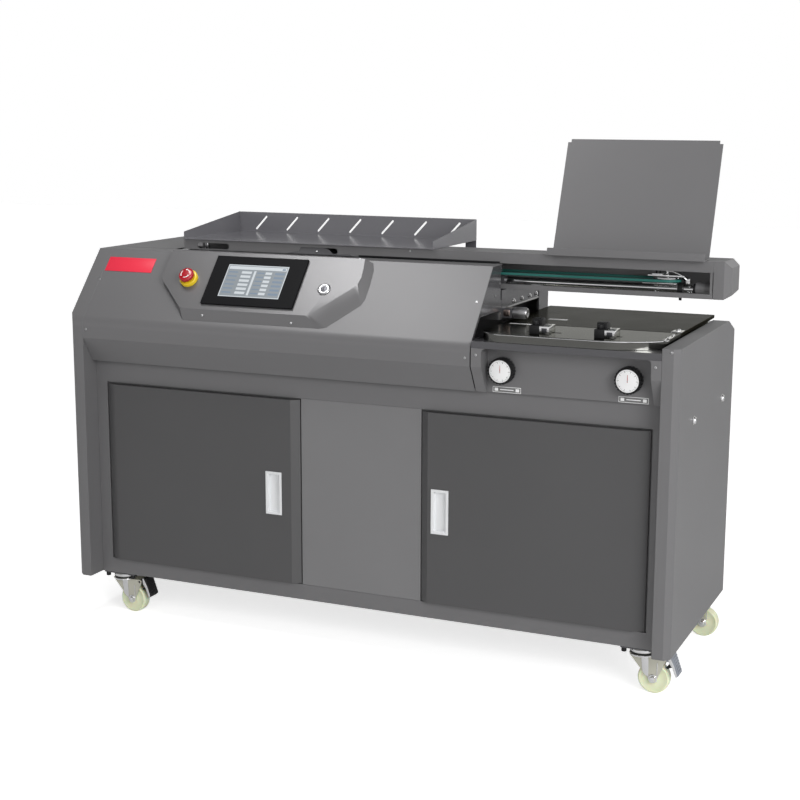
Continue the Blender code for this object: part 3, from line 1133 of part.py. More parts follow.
def build_stations():
    x = (TANK_X, TANK_X + TANK_LENGTH)
    y = (TANK_Y, TANK_Y + TANK_DEPTH)
    low = SHELF_TOP_Z + GAP
    tank = solid("glue_tank", block(x, y, (low, TANK_TOP_Z)), STEEL)
    bath_z = (low + TANK_WALL, TANK_TOP_Z + OVERRUN)
    cut(tank, block(widened(x, -TANK_WALL), widened(y, -TANK_WALL), bath_z))
    names = ("left", "right")
    for name, share in zip(names, ROLLER_SHARES):
        middle = x[0] + share * TANK_LENGTH
        bearing = SHAFT_R + GAP
        notch = [*arc((middle, ROLLER_Z), bearing, 180, 360), (middle + bearing, TANK_TOP_Z + OVERRUN),
                 (middle - bearing, TANK_TOP_Z + OVERRUN)]
        cut(tank, prism(notch, "Y", y[0] - OVERRUN, y[1] + OVERRUN))
        ends = (y[0] - ROLLER_OVERHANG, y[1] + ROLLER_OVERHANG)
        drum = widened(y, -TANK_WALL - ROLLER_SIDE_GAP)
        profile = [(0.0, ends[0]), (SHAFT_R, ends[0]), (SHAFT_R, drum[0]), (ROLLER_R, drum[0]),
                   (ROLLER_R, drum[1]), (SHAFT_R, drum[1]), (SHAFT_R, ends[1]), (0.0, ends[1])]
        solid(name + "_glue_roller", turned(profile, "Y", (middle, ROLLER_Z), ROUND_SIDES), STEEL,
              (middle, ends[0], ROLLER_Z), smooth=True)
    bore = MOTOR_SHAFT_R + GAP
    cutter = [(bore, CUTTER_Z), (CUTTER_R, CUTTER_Z), (CUTTER_R, CUTTER_Z + CUTTER_THICKNESS),
              (bore, CUTTER_Z + CUTTER_THICKNESS)]
    solid("milling_cutter", turned(cutter, "Z", (CUTTER_X, CUTTER_Y), FINE_SIDES), STEEL,
          (CUTTER_X, CUTTER_Y, CUTTER_Z), smooth=True)
    motor_top = CUTTER_Z - GAP
    shaft_top = CUTTER_Z + CUTTER_THICKNESS - GAP
    motor = [(0.0, low), (MOTOR_R, low), (MOTOR_R, motor_top - MOTOR_HEADROOM),
             (MOTOR_SHAFT_R * 2, motor_top - MOTOR_HEADROOM), (MOTOR_SHAFT_R * 2, motor_top),
             (MOTOR_SHAFT_R, motor_top), (MOTOR_SHAFT_R, shaft_top), (0.0, shaft_top)]
    solid("milling_motor", turned(motor, "Z", (CUTTER_X, CUTTER_Y), ROUND_SIDES), DOOR_GREY, smooth=True)


# Casters. Their heights are counted down from the cabinet's underside.

WHEEL_Z = -(CASTER_HEIGHT - WHEEL_R)


def caster_plate(x, y, drop):
    size = (CASTER_PLATE / 2, CASTER_PLATE_DEPTH / 2)
    top = -GAP
    return block((x - size[0], x + size[0]), (y - size[1], y + size[1]), (top - drop, top))


def fork_solid(name, x, y, top, pivot_hole):
    """A round head, a crown and two legs, with the wheel's axle between them."""
    crown_z = top - CASTER_HEAD_HEIGHT
    head = [(0.0, crown_z), (CASTER_HEAD_R, crown_z), (CASTER_HEAD_R, top), (0.0, top)]
    fork = solid(name, turned(head, "Z", (x, y), ROUND_SIDES), STEEL, (x, y, top), smooth=True)
    half = WHEEL_WIDTH / 2 + FORK_SIDE_GAP
    join(fork, block((x - FORK_TOP_REAR, x + FORK_TOP_FRONT), (y - half - FORK_LEG, y + half + FORK_LEG),
                     (crown_z - FORK_CROWN, crown_z + SINK)))
    wheel_x = x + TRAIL
    rear_x = x - FORK_TOP_REAR + SINK
    foot = arc((wheel_x, WHEEL_Z), FORK_FOOT_R, 200, 360)
    leg = [(rear_x, crown_z - SINK), (rear_x, crown_z - FORK_CROWN), *foot]
    holes = ()
    if pivot_hole:
        pivot = (x + PEDAL_PIVOT_X, -PEDAL_PIVOT_Z)
        leg += arc(pivot, PEDAL_PIVOT_R * 2, -30, 90)
        holes = (circle(pivot, PEDAL_PIVOT_R + GAP, SMALL_SIDES),)
    leg.append((x + FORK_TOP_FRONT, crown_z - SINK))
    for start in (y - half - FORK_LEG + GAP, y + half - GAP):
        join(fork, prism(leg, "Y", start, start + FORK_LEG, holes))
    axle = [(0.0, y - half - FORK_LEG / 2), (AXLE_R, y - half - FORK_LEG / 2),
            (AXLE_R, y + half + FORK_LEG / 2), (0.0, y + half + FORK_LEG / 2)]
    join(fork, turned(axle, "Y", (wheel_x, WHEEL_Z), SMALL_SIDES))
    return fork


def build_wheel(name, x, y, parent):
    """A wheel with dished sides. Its flats, not its corners, lie at the wheel's radius."""
    corner = 1.0 / math.cos(math.pi / ROUND_SIDES)
    half = WHEEL_WIDTH / 2
    bore = AXLE_R + GAP
    rim = (WHEEL_R - WHEEL_GROOVE / 2) * corner
    dish = half - WHEEL_GROOVE
    side = [(bore, half), (WHEEL_HUB_R, half), (WHEEL_HUB_R + WHEEL_GROOVE, dish),
            (rim - WHEEL_GROOVE, dish), (rim, half), (WHEEL_R * corner, dish)]
    profile = [(radius, y - along) for radius, along in side]
    profile += [(radius, y + along) for radius, along in reversed(side)]
    centre = (x + TRAIL, WHEEL_Z)
    tread = turned(profile, "Y", centre, ROUND_SIDES)
    solid(name, tread, NYLON, (centre[0], y, centre[1]), parent, smooth=True)


def build_pedal(name, x, y, parent):
    """The brake pedal: a neck between the fork's legs, on a pin that turns in them, and a wider pad."""
    half = WHEEL_WIDTH / 2
    pad_half = PEDAL_PAD_WIDTH / 2
    pivot = (x + PEDAL_PIVOT_X, -PEDAL_PIVOT_Z)
    root_x = pivot[0] - PEDAL_ROOT
    pad_x = x + PEDAL_PAD_X
    pad = [(pad_x + a * PEDAL_PAD_REACH, -PEDAL_PAD_TOP - b * PEDAL_PAD_DROP) for a, b in PEDAL_PAD_SHARES]
    end = [(pad_x + a * PEDAL_PAD_REACH, -PEDAL_PAD_TOP - b * PEDAL_PAD_DROP) for a, b in PEDAL_NECK_SHARES]
    neck = [(root_x, pivot[1] - PEDAL_ROOT / 2), (root_x, pivot[1] + PEDAL_ROOT / 2), *end]
    brake = solid(name, prism(pad, "Y", y - pad_half, y + pad_half), BLACK, (pivot[0], y, pivot[1]), parent)
    join(brake, prism(neck, "Y", y - half, y + half))
    pin = [(0.0, y - half - FORK_LEG), (PEDAL_PIVOT_R, y - half - FORK_LEG),
           (PEDAL_PIVOT_R, y + half + FORK_LEG), (0.0, y + half + FORK_LEG)]
    join(brake, turned(pin, "Y", pivot, SMALL_SIDES))


def build_casters():
    rear_y = CABINET_DEPTH - CASTER_REAR_INSET
    fronts = (("front_left", CASTER_LEFT_X), ("front_right", CABINET_WIDTH - CASTER_RIGHT_INSET))
    rears = (("rear_left", CASTER_LEFT_X), ("rear_right", CABINET_WIDTH - CASTER_REAR_RIGHT_INSET))
    for name, x in fronts:
        solid(name + "_caster_plate", caster_plate(x, CASTER_FRONT_Y, CASTER_PLATE_THICKNESS), STEEL)
        top = -GAP - CASTER_PLATE_THICKNESS - GAP
        fork = fork_solid(name + "_caster_fork", x, CASTER_FRONT_Y, top, True)
        build_wheel(name + "_wheel", x, CASTER_FRONT_Y, fork)
        build_pedal(name + "_brake_pedal", x, CASTER_FRONT_Y, fork)
    for name, x in rears:
        fork = fork_solid(name + "_caster_bracket", x, rear_y, -GAP - CASTER_PLATE_THICKNESS / 2, False)
        join(fork, caster_plate(x, rear_y, CASTER_PLATE_THICKNESS))
        build_wheel(name + "_wheel", x, rear_y, fork)


build_cabinet()
build_front_frame()
build_doors()
hood_cover = build_hood()
build_end_wall()
build_top_plate()
build_pod(hood_cover)
build_fascia()
build_deck_plate()
build_table()
build_nip_plate()
build_dials()
build_beam()
build_beam_cap()
build_drive()
build_carriage()
build_tray()
build_board()
build_stations()
build_casters()
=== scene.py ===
# A floor-standing thermal binding machine, laid out as an add-on that is run as a script.
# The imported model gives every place. Lengths here are millimetres, and places are counted from the
# cabinet's left side, its front and its underside. What Blender keeps is in metres.
import math

import bmesh
import bpy
from bpy.props import FloatProperty, FloatVectorProperty, IntProperty
from mathutils import Matrix, Vector


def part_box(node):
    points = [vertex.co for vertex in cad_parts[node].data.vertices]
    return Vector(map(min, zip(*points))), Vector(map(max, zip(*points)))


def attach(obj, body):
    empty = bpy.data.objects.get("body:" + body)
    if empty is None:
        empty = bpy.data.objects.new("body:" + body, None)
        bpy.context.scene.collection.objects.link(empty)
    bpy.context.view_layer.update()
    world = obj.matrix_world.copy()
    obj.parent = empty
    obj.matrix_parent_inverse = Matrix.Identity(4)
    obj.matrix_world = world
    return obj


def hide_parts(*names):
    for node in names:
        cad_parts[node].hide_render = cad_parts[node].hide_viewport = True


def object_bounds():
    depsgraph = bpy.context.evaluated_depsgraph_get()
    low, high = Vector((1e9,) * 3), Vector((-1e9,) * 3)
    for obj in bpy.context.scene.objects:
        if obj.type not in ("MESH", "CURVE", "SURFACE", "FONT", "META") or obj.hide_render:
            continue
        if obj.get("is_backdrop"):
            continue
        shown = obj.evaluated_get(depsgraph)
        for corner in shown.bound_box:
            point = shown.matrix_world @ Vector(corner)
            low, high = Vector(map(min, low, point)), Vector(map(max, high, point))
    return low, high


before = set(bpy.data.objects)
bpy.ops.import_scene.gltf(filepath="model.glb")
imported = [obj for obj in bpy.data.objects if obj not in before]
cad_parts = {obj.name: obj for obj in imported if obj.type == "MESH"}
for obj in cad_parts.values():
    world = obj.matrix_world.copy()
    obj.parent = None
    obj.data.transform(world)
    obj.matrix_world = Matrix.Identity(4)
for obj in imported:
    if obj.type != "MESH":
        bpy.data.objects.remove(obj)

bl_info = {
    "name": "Thermal binding machine",
    "version": (1, 0, 0),
    "blender": (4, 5, 0),
    "location": "3D View > Sidebar > Binder",
    "description": "Builds the finished pieces of a thermal binding machine round its packed model",
    "category": "Add Mesh",
}

MM = 0.001
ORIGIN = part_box("left_side_panel")[0]

# The ways that a piece can face
FRONT = (0.0, -1.0, 0.0)
RIGHT = (1.0, 0.0, 0.0)
UP = (0.0, 0.0, 1.0)
DOWN = (0.0, 0.0, -1.0)

# The slope of the hood, which the control pod stands on
SLOPE_FOOT = (0, 13.3, 700.3)
SLOPE_ANGLE = math.atan2(172.6, 148.9)

# From a caster's swivel axis back to its wheel's axle
TRAIL = 30

# The camera's place and aim, and its lens
CAMERA_PLACE = (2356.463, -3228.441, 1224.638)
CAMERA_TURN = math.radians(23.751131)
CAMERA_TILT = math.radians(90.0 - 10.859110)
CAMERA_ROLL = math.radians(0.174504)
CAMERA_LENS = 68.52
CAMERA_REACH = 60.0

# A lamp's place, the place that it lights and its own width and depth
KEY_LIGHT = ((4000, -2600, 1900), (1200, 100, 500), (1600, 1600))
SOFTBOX = ((50, -460, 2650), (750, 100, 750), (900, 600))
FLOOR_REACH = 14.0

# Materials and node trees by their short names, each made once
MADE = {}
TREES = {}


# Places

def at(x, y, z):
    """A place on the machine as a place in the frame."""
    return ORIGIN + Vector((x, y, z)) * MM


def machine_matrix():
    return Matrix.Translation(ORIGIN)


def slope_matrix(x=0, s=0, h=0):
    """A matrix whose axes run across the hood's slope, up it and off it."""
    foot = Matrix.Translation(at(*SLOPE_FOOT)) @ Matrix.Rotation(SLOPE_ANGLE, 4, "X")
    return foot @ Matrix.Translation(Vector((x, s, h)) * MM)


def facing(x, y, z, way):
    """A matrix at a place on the machine whose Z points along a way of the frame."""
    turn = Vector(way).to_track_quat("Z", "Y").to_matrix().to_4x4()
    return Matrix.Translation(at(x, y, z)) @ turn


def lifted(place, height):
    """The same matrix, moved along its own Z."""
    return place @ Matrix.Translation((0.0, 0.0, height * MM))


def upright(y):
    """A matrix for outlines of (x, depth under the cabinet) that are drawn out across the machine."""
    return machine_matrix() @ Matrix(((1.0, 0.0, 0.0, 0.0), (0.0, 0.0, 1.0, y * MM),
                                      (0.0, -1.0, 0.0, 0.0), (0.0, 0.0, 0.0, 1.0)))


def elevation():
    """A matrix for outlines of (x, z) that are drawn out from the front to the back."""
    return machine_matrix() @ Matrix(((1.0, 0.0, 0.0, 0.0), (0.0, 0.0, 1.0, 0.0),
                                      (0.0, 1.0, 0.0, 0.0), (0.0, 0.0, 0.0, 1.0)))


def node_box(name):
    """A node's lowest corner, its highest and its middle, as places on the machine."""
    low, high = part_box(name)
    low = (low - ORIGIN) / MM
    high = (high - ORIGIN) / MM
    return low, high, (low + high) / 2


# Materials

class Nodes:
    """A short way to write a node tree."""

    def __init__(self, tree):
        self.tree = tree

    def feed(self, node, inputs):
        """Links or sets a node's inputs."""
        for name, value in inputs.items():
            if isinstance(value, bpy.types.NodeSocket):
                self.tree.links.new(value, node.inputs[name])
            else:
                node.inputs[name].default_value = value

    def add(self, kind, inputs=None, **settings):
        node = self.tree.nodes.new(kind)
        for name, value in settings.items():
            setattr(node, name, value)
        self.feed(node, inputs or {})
        return node

    def calc(self, operation, first, second):
        return self.add("ShaderNodeMath", {0: first, 1: second}, operation=operation).outputs[0]

    def vector(self, **parts):
        return self.add("ShaderNodeCombineXYZ", parts).outputs["Vector"]

    def noise(self, place, scale, detail, roughness=0.5):
        return self.add("ShaderNodeTexNoise", {"Vector": place, "Scale": scale, "Detail": detail,
                                               "Roughness": roughness}).outputs["Fac"]

    def span(self, value, low, high, to_low, to_high):
        """A value's range stretched to another one."""
        return self.add("ShaderNodeMapRange", {"Value": value, "From Min": low, "From Max": high,
                                               "To Min": to_low, "To Max": to_high}).outputs["Result"]

    def bump(self, height, strength, distance):
        return self.add("ShaderNodeBump", {"Height": height, "Strength": strength,
                                           "Distance": distance * MM}).outputs["Normal"]

    def tinted(self, colour, factor, spread):
        """A colour that runs from a little darker to a little lighter with a factor."""
        dark = [channel * (1.0 - spread) for channel in colour[:3]] + [1.0]
        light = [min(1.0, channel * (1.0 + spread)) for channel in colour[:3]] + [1.0]
        mix = self.add("ShaderNodeMix", {"Factor": factor}, data_type="RGBA")
        mix.inputs["A"].default_value = dark
        mix.inputs["B"].default_value = light
        return mix.outputs["Result"]


def shader(name):
    """A new material with its tree, its surface shader and object coordinates."""
    material = bpy.data.materials.new(name)
    material.use_nodes = True
    nodes = Nodes(material.node_tree)
    surface = material.node_tree.nodes["Principled BSDF"]
    return material, nodes, surface, nodes.add("ShaderNodeTexCoord").outputs["Object"]


def paint(name, colour, roughness, grain=1.1, depth=0.12, spread=0.05, coat=0.0, metallic=0.0,
          shine=0.5):
    """Powder coat or moulded plastic: fine grain over a slow drift of tone."""
    material, nodes, surface, place = shader(name)
    slow = nodes.noise(place, 3.5, 3.0)
    fine = nodes.noise(place, 1.0 / (grain * MM), 2.0)
    nodes.feed(surface, {
        "Base Color": nodes.tinted(colour, slow, spread),
        "Roughness": nodes.span(fine, 0.0, 1.0, roughness - 0.05, roughness + 0.06),
        "Normal": nodes.bump(fine, depth, grain * 0.2),
        "Metallic": metallic, "Specular IOR Level": shine, "Coat Weight": coat, "Coat Roughness": 0.12})
    return material


def metal(name, colour, roughness, grain=(6.0, 900.0, 900.0), depth=0.05, spread=0.08, edge=1.0):
    """Brushed or polished metal, with streaks along one axis and handling marks.

    Edge is the share of glare that is left where the surface is seen at a low angle."""
    material, nodes, surface, place = shader(name)
    stretched = nodes.add("ShaderNodeMapping", {"Vector": place, "Scale": grain}).outputs["Vector"]
    streak = nodes.noise(stretched, 1.0, 3.0)
    marks = nodes.noise(place, 14.0, 5.0, 0.65)
    total = nodes.calc("ADD", streak, marks)
    nodes.feed(surface, {
        "Base Color": nodes.tinted(colour, marks, spread),
        "Roughness": nodes.span(total, 0.0, 2.0, roughness * 0.6, roughness * 1.4),
        "Normal": nodes.bump(streak, depth, 0.2),
        "Metallic": 1.0, "Specular Tint": (edge, edge, edge * 0.95, 1.0)})
    return material


def nylon(name, colour):
    """Cast nylon: waxy, with light that goes a little way in."""
    material = paint(name, colour, 0.38, grain=1.8, depth=0.10, spread=0.10)
    nodes = Nodes(material.node_tree)
    nodes.feed(material.node_tree.nodes["Principled BSDF"], {"Subsurface Weight": 0.25,
                                                             "Subsurface Scale": 6 * MM})
    return material


def woven(name, colour):
    """Belt rubber with fine teeth across it."""
    material, nodes, surface, place = shader(name)
    wave = nodes.add("ShaderNodeTexWave", {"Vector": place, "Scale": 160.0, "Distortion": 0.4},
                     bands_direction="X").outputs["Fac"]
    nodes.feed(surface, {"Base Color": nodes.tinted(colour, wave, 0.25), "Roughness": 0.6,
                         "Normal": nodes.bump(wave, 0.4, 0.4)})
    return material


def lit(name, colour):
    """A part of the screen that is lit from behind, a little uneven."""
    material, nodes, surface, place = shader(name)
    nodes.feed(surface, {
        "Emission Color": nodes.tinted(colour, nodes.noise(place, 22.0, 2.0), 0.04),
        "Emission Strength": 1.0, "Base Color": (0.02, 0.02, 0.02, 1.0), "Roughness": 0.3,
        "Specular IOR Level": 0.1})
    return material


def finishes(size):
    """Every material by its short name, made the first time it is asked for."""
    if MADE:
        return MADE
    rough = size.paint_roughness
    MADE.update({
        "body": paint("body_paint", size.body_colour, rough, metallic=0.15),
        "pod": paint("pod_paint", size.body_colour, rough - 0.08, metallic=0.30),
        "centre": paint("centre_paint", size.centre_colour, rough, metallic=0.15),
        "door": paint("door_paint", size.door_colour, rough, metallic=0.1),
        "panel": paint("panel_paint", size.panel_colour, 0.22, depth=0.05, metallic=0.4, coat=0.3),
        "tray": paint("tray_paint", size.tray_colour, 0.24, depth=0.04, coat=0.5),
        "black": paint("black_plastic", size.black_colour, 0.42, grain=0.6, depth=0.25, shine=0.3),
        "bezel": paint("bezel_film", size.black_colour, 0.5, depth=0.02, shine=0.06),
        "steel": metal("brushed_steel", size.steel_colour, 0.34),
        "table": metal("table_steel", size.table_colour, 0.16, grain=(900.0, 5.0, 900.0), edge=0.5),
        "nip": metal("nip_steel", size.nip_colour, 0.24, grain=(5.0, 900.0, 900.0), edge=0.30),
        "dark_steel": metal("dark_steel", size.dark_steel_colour, 0.38),
        "bronze": metal("bronze", size.bronze_colour, 0.28),
        "chrome": metal("chrome", size.chrome_colour, 0.12, depth=0.01, spread=0.03),
        "handle": paint("handle_aluminium", size.handle_colour, 0.34, depth=0.03, spread=0.02,
                        metallic=0.3),
        "fork": paint("fork_zinc", size.fork_colour, 0.32, spread=0.10, metallic=0.45),
        "pedal": paint("pedal_zinc", size.pedal_colour, 0.36, spread=0.08, metallic=0.4),
        "red": paint("red_plastic", size.red_colour, 0.28, depth=0.05, coat=0.4),
        "plate": paint("plate_red", size.plate_colour, 0.36, depth=0.05, shine=0.25),
        "yellow": paint("yellow_plastic", size.yellow_colour, 0.34, depth=0.06, coat=0.2),
        "label": paint("label_ground", size.label_colour, 0.4, spread=0.03),
        "white": paint("white_print", size.white_colour, 0.45, depth=0.05, spread=0.02),
        "nylon": nylon("wheel_nylon", size.nylon_colour),
        "belt": woven("belt_rubber", size.belt_colour),
        "screen": lit("screen_ground", size.screen_colour),
        "screen_light": lit("screen_light", (0.62, 0.66, 0.69, 1.0)),
        "screen_dark": lit("screen_dark", (0.20, 0.26, 0.34, 1.0)),
        "glue": paint("set_glue", (0.62, 0.52, 0.30, 1.0), 0.25, grain=10, depth=0.3, coat=0.4),
    })
    return MADE


# Meshes

class Shape:
    """Closed bodies gathered into one piece, each with its material."""

    def __init__(self):
        self.mesh = bmesh.new()
        self.materials = []

    def take(self, part, key, matrix=None):
        """Adds a body and turns it to its place."""
        if MADE[key] not in self.materials:
            self.materials.append(MADE[key])
        number = self.materials.index(MADE[key])
        for face in part.faces:
            face.material_index = number
            face.smooth = True
        part.transform(matrix or machine_matrix())
        bmesh.ops.recalc_face_normals(part, faces=part.faces)
        mesh = bpy.data.meshes.new("part")
        part.to_mesh(mesh)
        part.free()
        self.mesh.from_mesh(mesh)
        bpy.data.meshes.remove(mesh)

    def box(self, key, low, high, matrix=None):
        part = bmesh.new()
        bmesh.ops.create_cube(part, size=1.0)
        low = Vector(low) * MM
        high = Vector(high) * MM
        span = Matrix.Diagonal((*(high - low), 1.0))
        part.transform(Matrix.Translation((low + high) / 2) @ span)
        self.take(part, key, matrix)

    def prism(self, key, outline, low, high, matrix=None):
        """An outline in X and Y drawn out along Z."""
        part = bmesh.new()
        part.faces.new([part.verts.new((x * MM, y * MM, low * MM)) for x, y in outline])
        grown = bmesh.ops.extrude_face_region(part, geom=part.faces[:])
        raised = [item for item in grown["geom"] if isinstance(item, bmesh.types.BMVert)]
        bmesh.ops.translate(part, verts=raised, vec=(0.0, 0.0, (high - low) * MM))
        self.take(part, key, matrix)

    def lathe(self, key, profile, matrix, sides=96):
        """A profile of (radius, height) turned round the local Z."""
        part = bmesh.new()
        rings = []
        for radius, height in profile:
            if not radius:
                rings.append([part.verts.new((0.0, 0.0, height * MM))])
                continue
            rings.append([part.verts.new((x, y, height * MM)) for x, y in circle(radius, sides)])
        pairs = list(zip(rings, rings[1:]))
        if profile[0][0]:
            pairs.append((rings[-1], rings[0]))
        for a, b in pairs:
            for i in range(sides):
                j = (i + 1) % sides
                unique = list(dict.fromkeys((a[i % len(a)], a[j % len(a)], b[j % len(b)], b[i % len(b)])))
                if len(unique) > 2:
                    part.faces.new(unique)
        self.take(part, key, matrix)

    def tube(self, key, points, radius, sides=16):
        """A round bar along a path of places, closed at both ends."""
        part = bmesh.new()
        points = [Vector(point) * MM for point in points]
        rings = []
        for i, point in enumerate(points):
            before = points[max(i - 1, 0)]
            after = points[min(i + 1, len(points) - 1)]
            turn = (after - before).to_track_quat("Z", "Y")
            rings.append([part.verts.new(point + turn @ Vector((x, y, 0.0)))
                          for x, y in circle(radius, sides)])
        for a, b in zip(rings, rings[1:]):
            for k in range(sides):
                j = (k + 1) % sides
                part.faces.new((a[k], a[j], b[j], b[k]))
        part.faces.new(rings[0])
        part.faces.new(rings[-1])
        self.take(part, key)

    def grown(self, key, group, inputs, matrix, source=None):
        """What a Geometry Nodes tree makes, as plain mesh."""
        part = bmesh.new()
        mesh = run_nodes(group, {**inputs, "Material": MADE[key]}, source)
        part.from_mesh(mesh)
        bpy.data.meshes.remove(mesh)
        self.take(part, key, matrix)

    def ring(self, key, place, lift, count, radius, bar, lean=0.0):
        """Bars round a circle that stands off a place, each of a depth, a width and a height."""
        depth, width, height = bar
        self.grown(key, tree("ring"), {"Count": count, "Radius": radius * MM, "Bar Depth": depth * MM,
                                       "Bar Width": width * MM, "Bar Height": height * MM,
                                       "Lean": lean}, lifted(place, lift))

    def row(self, key, place, count, pitch, bar):
        """Bars in a straight row from a place."""
        self.grown(key, tree("row"), {"Count": count, "Pitch": tuple(Vector(pitch) * MM),
                                      "Bar Size": tuple(Vector(bar) * MM)}, place)

    def finish(self, name, body, bevel=0.0, segments=2, sharp=38.0):
        """The piece as an object that rides on a body."""
        mesh = bpy.data.meshes.new(name)
        self.mesh.to_mesh(mesh)
        self.mesh.free()
        for material in self.materials:
            mesh.materials.append(material)
        thing = bpy.data.objects.new(name, mesh)
        bpy.context.scene.collection.objects.link(thing)
        if bevel:
            round_edges(thing, bevel * MM, segments, sharp)
            plain_mesh(thing)
        thing.data.set_sharp_from_angle(angle=math.radians(sharp))
        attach(thing, body)
        return thing


def circle(radius, sides):
    """The corners of a circle, in metres."""
    return [(radius * MM * math.cos(2.0 * math.pi * i / sides),
             radius * MM * math.sin(2.0 * math.pi * i / sides)) for i in range(sides)]


def round_edges(thing, width, segments, sharp):
    edge = thing.modifiers.new("edge", "BEVEL")
    edge.width = width
    edge.segments = segments
    edge.limit_method = "ANGLE"
    edge.angle_limit = math.radians(sharp)
    edge.use_clamp_overlap = True


def evaluated(thing):
    """What an object's modifiers make, as a mesh of its own."""
    bpy.context.view_layer.update()
    graph = bpy.context.evaluated_depsgraph_get()
    return bpy.data.meshes.new_from_object(thing.evaluated_get(graph), depsgraph=graph)


def plain_mesh(thing):
    """Turns an object's modifiers into plain mesh."""
    made = evaluated(thing)
    old = thing.data
    thing.modifiers.clear()
    thing.data = made
    name = old.name
    bpy.data.meshes.remove(old)
    made.name = name


# Geometry Nodes trees

def new_tree(name, sockets):
    """An empty tree with named inputs, its node writer and its inputs."""
    group = bpy.data.node_groups.new(name, "GeometryNodeTree")
    face = group.interface
    face.new_socket("Geometry", in_out="INPUT", socket_type="NodeSocketGeometry")
    for label, kind, value in sockets:
        face.new_socket(label, in_out="INPUT", socket_type=f"NodeSocket{kind}").default_value = value
    face.new_socket("Material", in_out="INPUT", socket_type="NodeSocketMaterial")
    face.new_socket("Geometry", in_out="OUTPUT", socket_type="NodeSocketGeometry")
    nodes = Nodes(group)
    return group, nodes, nodes.add("NodeGroupInput").outputs


def end_tree(nodes, given, points, thing, rotation=None, scale=None):
    """Sets a thing on points, realises the instances, sets the material and hands the mesh on."""
    inputs = {"Points": points, "Instance": thing}
    if rotation:
        inputs["Rotation"] = rotation
    if scale:
        inputs["Scale"] = scale
    placed = nodes.add("GeometryNodeInstanceOnPoints", inputs)
    solid = nodes.add("GeometryNodeRealizeInstances", {"Geometry": placed.outputs["Instances"]})
    painted = nodes.add("GeometryNodeSetMaterial", {"Geometry": solid.outputs["Geometry"],
                                                    "Material": given["Material"]})
    nodes.add("NodeGroupOutput", {"Geometry": painted.outputs["Geometry"]})


def run_nodes(group, values, source):
    """The mesh that a tree makes from these inputs."""
    thing = bpy.data.objects.new("grown", source or bpy.data.meshes.new("seed"))
    bpy.context.scene.collection.objects.link(thing)
    change = thing.modifiers.new("grown", "NODES")
    change.node_group = group
    for item in group.interface.items_tree:
        if item.in_out == "INPUT" and item.name in values:
            change[item.identifier] = values[item.name]
    made = evaluated(thing)
    thing.modifiers.clear()
    bpy.data.objects.remove(thing, do_unlink=True)
    if not made.vertices:
        raise RuntimeError(f"{group.name} made nothing")
    return made


def screw_tree():
    """Pan-head screws with a cross recess on points, each turned at random about its own axis."""
    group, nodes, given = new_tree("screws", (
        ("Head Radius", "Float", 0.003), ("Head Height", "Float", 0.0014),
        ("Recess Width", "Float", 0.0007), ("Seed", "Int", 3)))
    radius = given["Head Radius"]
    height = given["Head Height"]
    half = nodes.calc("MULTIPLY", height, 0.5)
    top = nodes.calc("MULTIPLY", radius, 0.72)
    parts = []
    for narrow, lift in ((radius, 0.0), (top, half)):
        cone = nodes.add("GeometryNodeMeshCone", {"Vertices": 32, "Radius Top": narrow,
                                                  "Radius Bottom": radius, "Depth": half})
        parts.append(moved(nodes, cone, nodes.vector(Z=lift)))
    head = nodes.add("GeometryNodeMeshBoolean", operation="UNION", solver="EXACT")
    for part in parts:
        nodes.tree.links.new(part, head.inputs["Mesh 2"])
    length = nodes.calc("MULTIPLY", radius, 1.1)
    recess = given["Recess Width"]
    cut = nodes.add("GeometryNodeMeshBoolean", {"Mesh 1": head.outputs["Mesh"]},
                    operation="DIFFERENCE", solver="EXACT")
    for first, second in ((length, recess), (recess, length)):
        bar = nodes.add("GeometryNodeMeshCube", {"Size": nodes.vector(X=first, Y=second, Z=height)})
        nodes.tree.links.new(moved(nodes, bar, nodes.vector(Z=height)), cut.inputs["Mesh 2"])
    way = nodes.add("GeometryNodeInputNamedAttribute", {"Name": "facing"}, data_type="FLOAT_VECTOR")
    upright = nodes.add("FunctionNodeAlignRotationToVector", {"Vector": way.outputs["Attribute"]},
                        axis="Z")
    chance = nodes.add("FunctionNodeRandomValue", data_type="FLOAT")
    chance.inputs["Max"].default_value = math.pi
    nodes.tree.links.new(given["Seed"], chance.inputs["Seed"])
    spin = nodes.vector(Z=next(s for s in chance.outputs if s.enabled))
    turned = nodes.add("FunctionNodeRotateRotation", {"Rotation": upright.outputs["Rotation"],
                                                      "Rotate By": spin}, rotation_space="LOCAL")
    scale = nodes.add("GeometryNodeInputNamedAttribute", {"Name": "size"}, data_type="FLOAT")
    end_tree(nodes, given, given["Geometry"], cut.outputs["Mesh"], turned.outputs["Rotation"],
             scale.outputs["Attribute"])
    return group


def moved(nodes, thing, way):
    """A node's mesh, moved."""
    return nodes.add("GeometryNodeTransform", {"Geometry": thing.outputs["Mesh"],
                                               "Translation": way}).outputs["Geometry"]


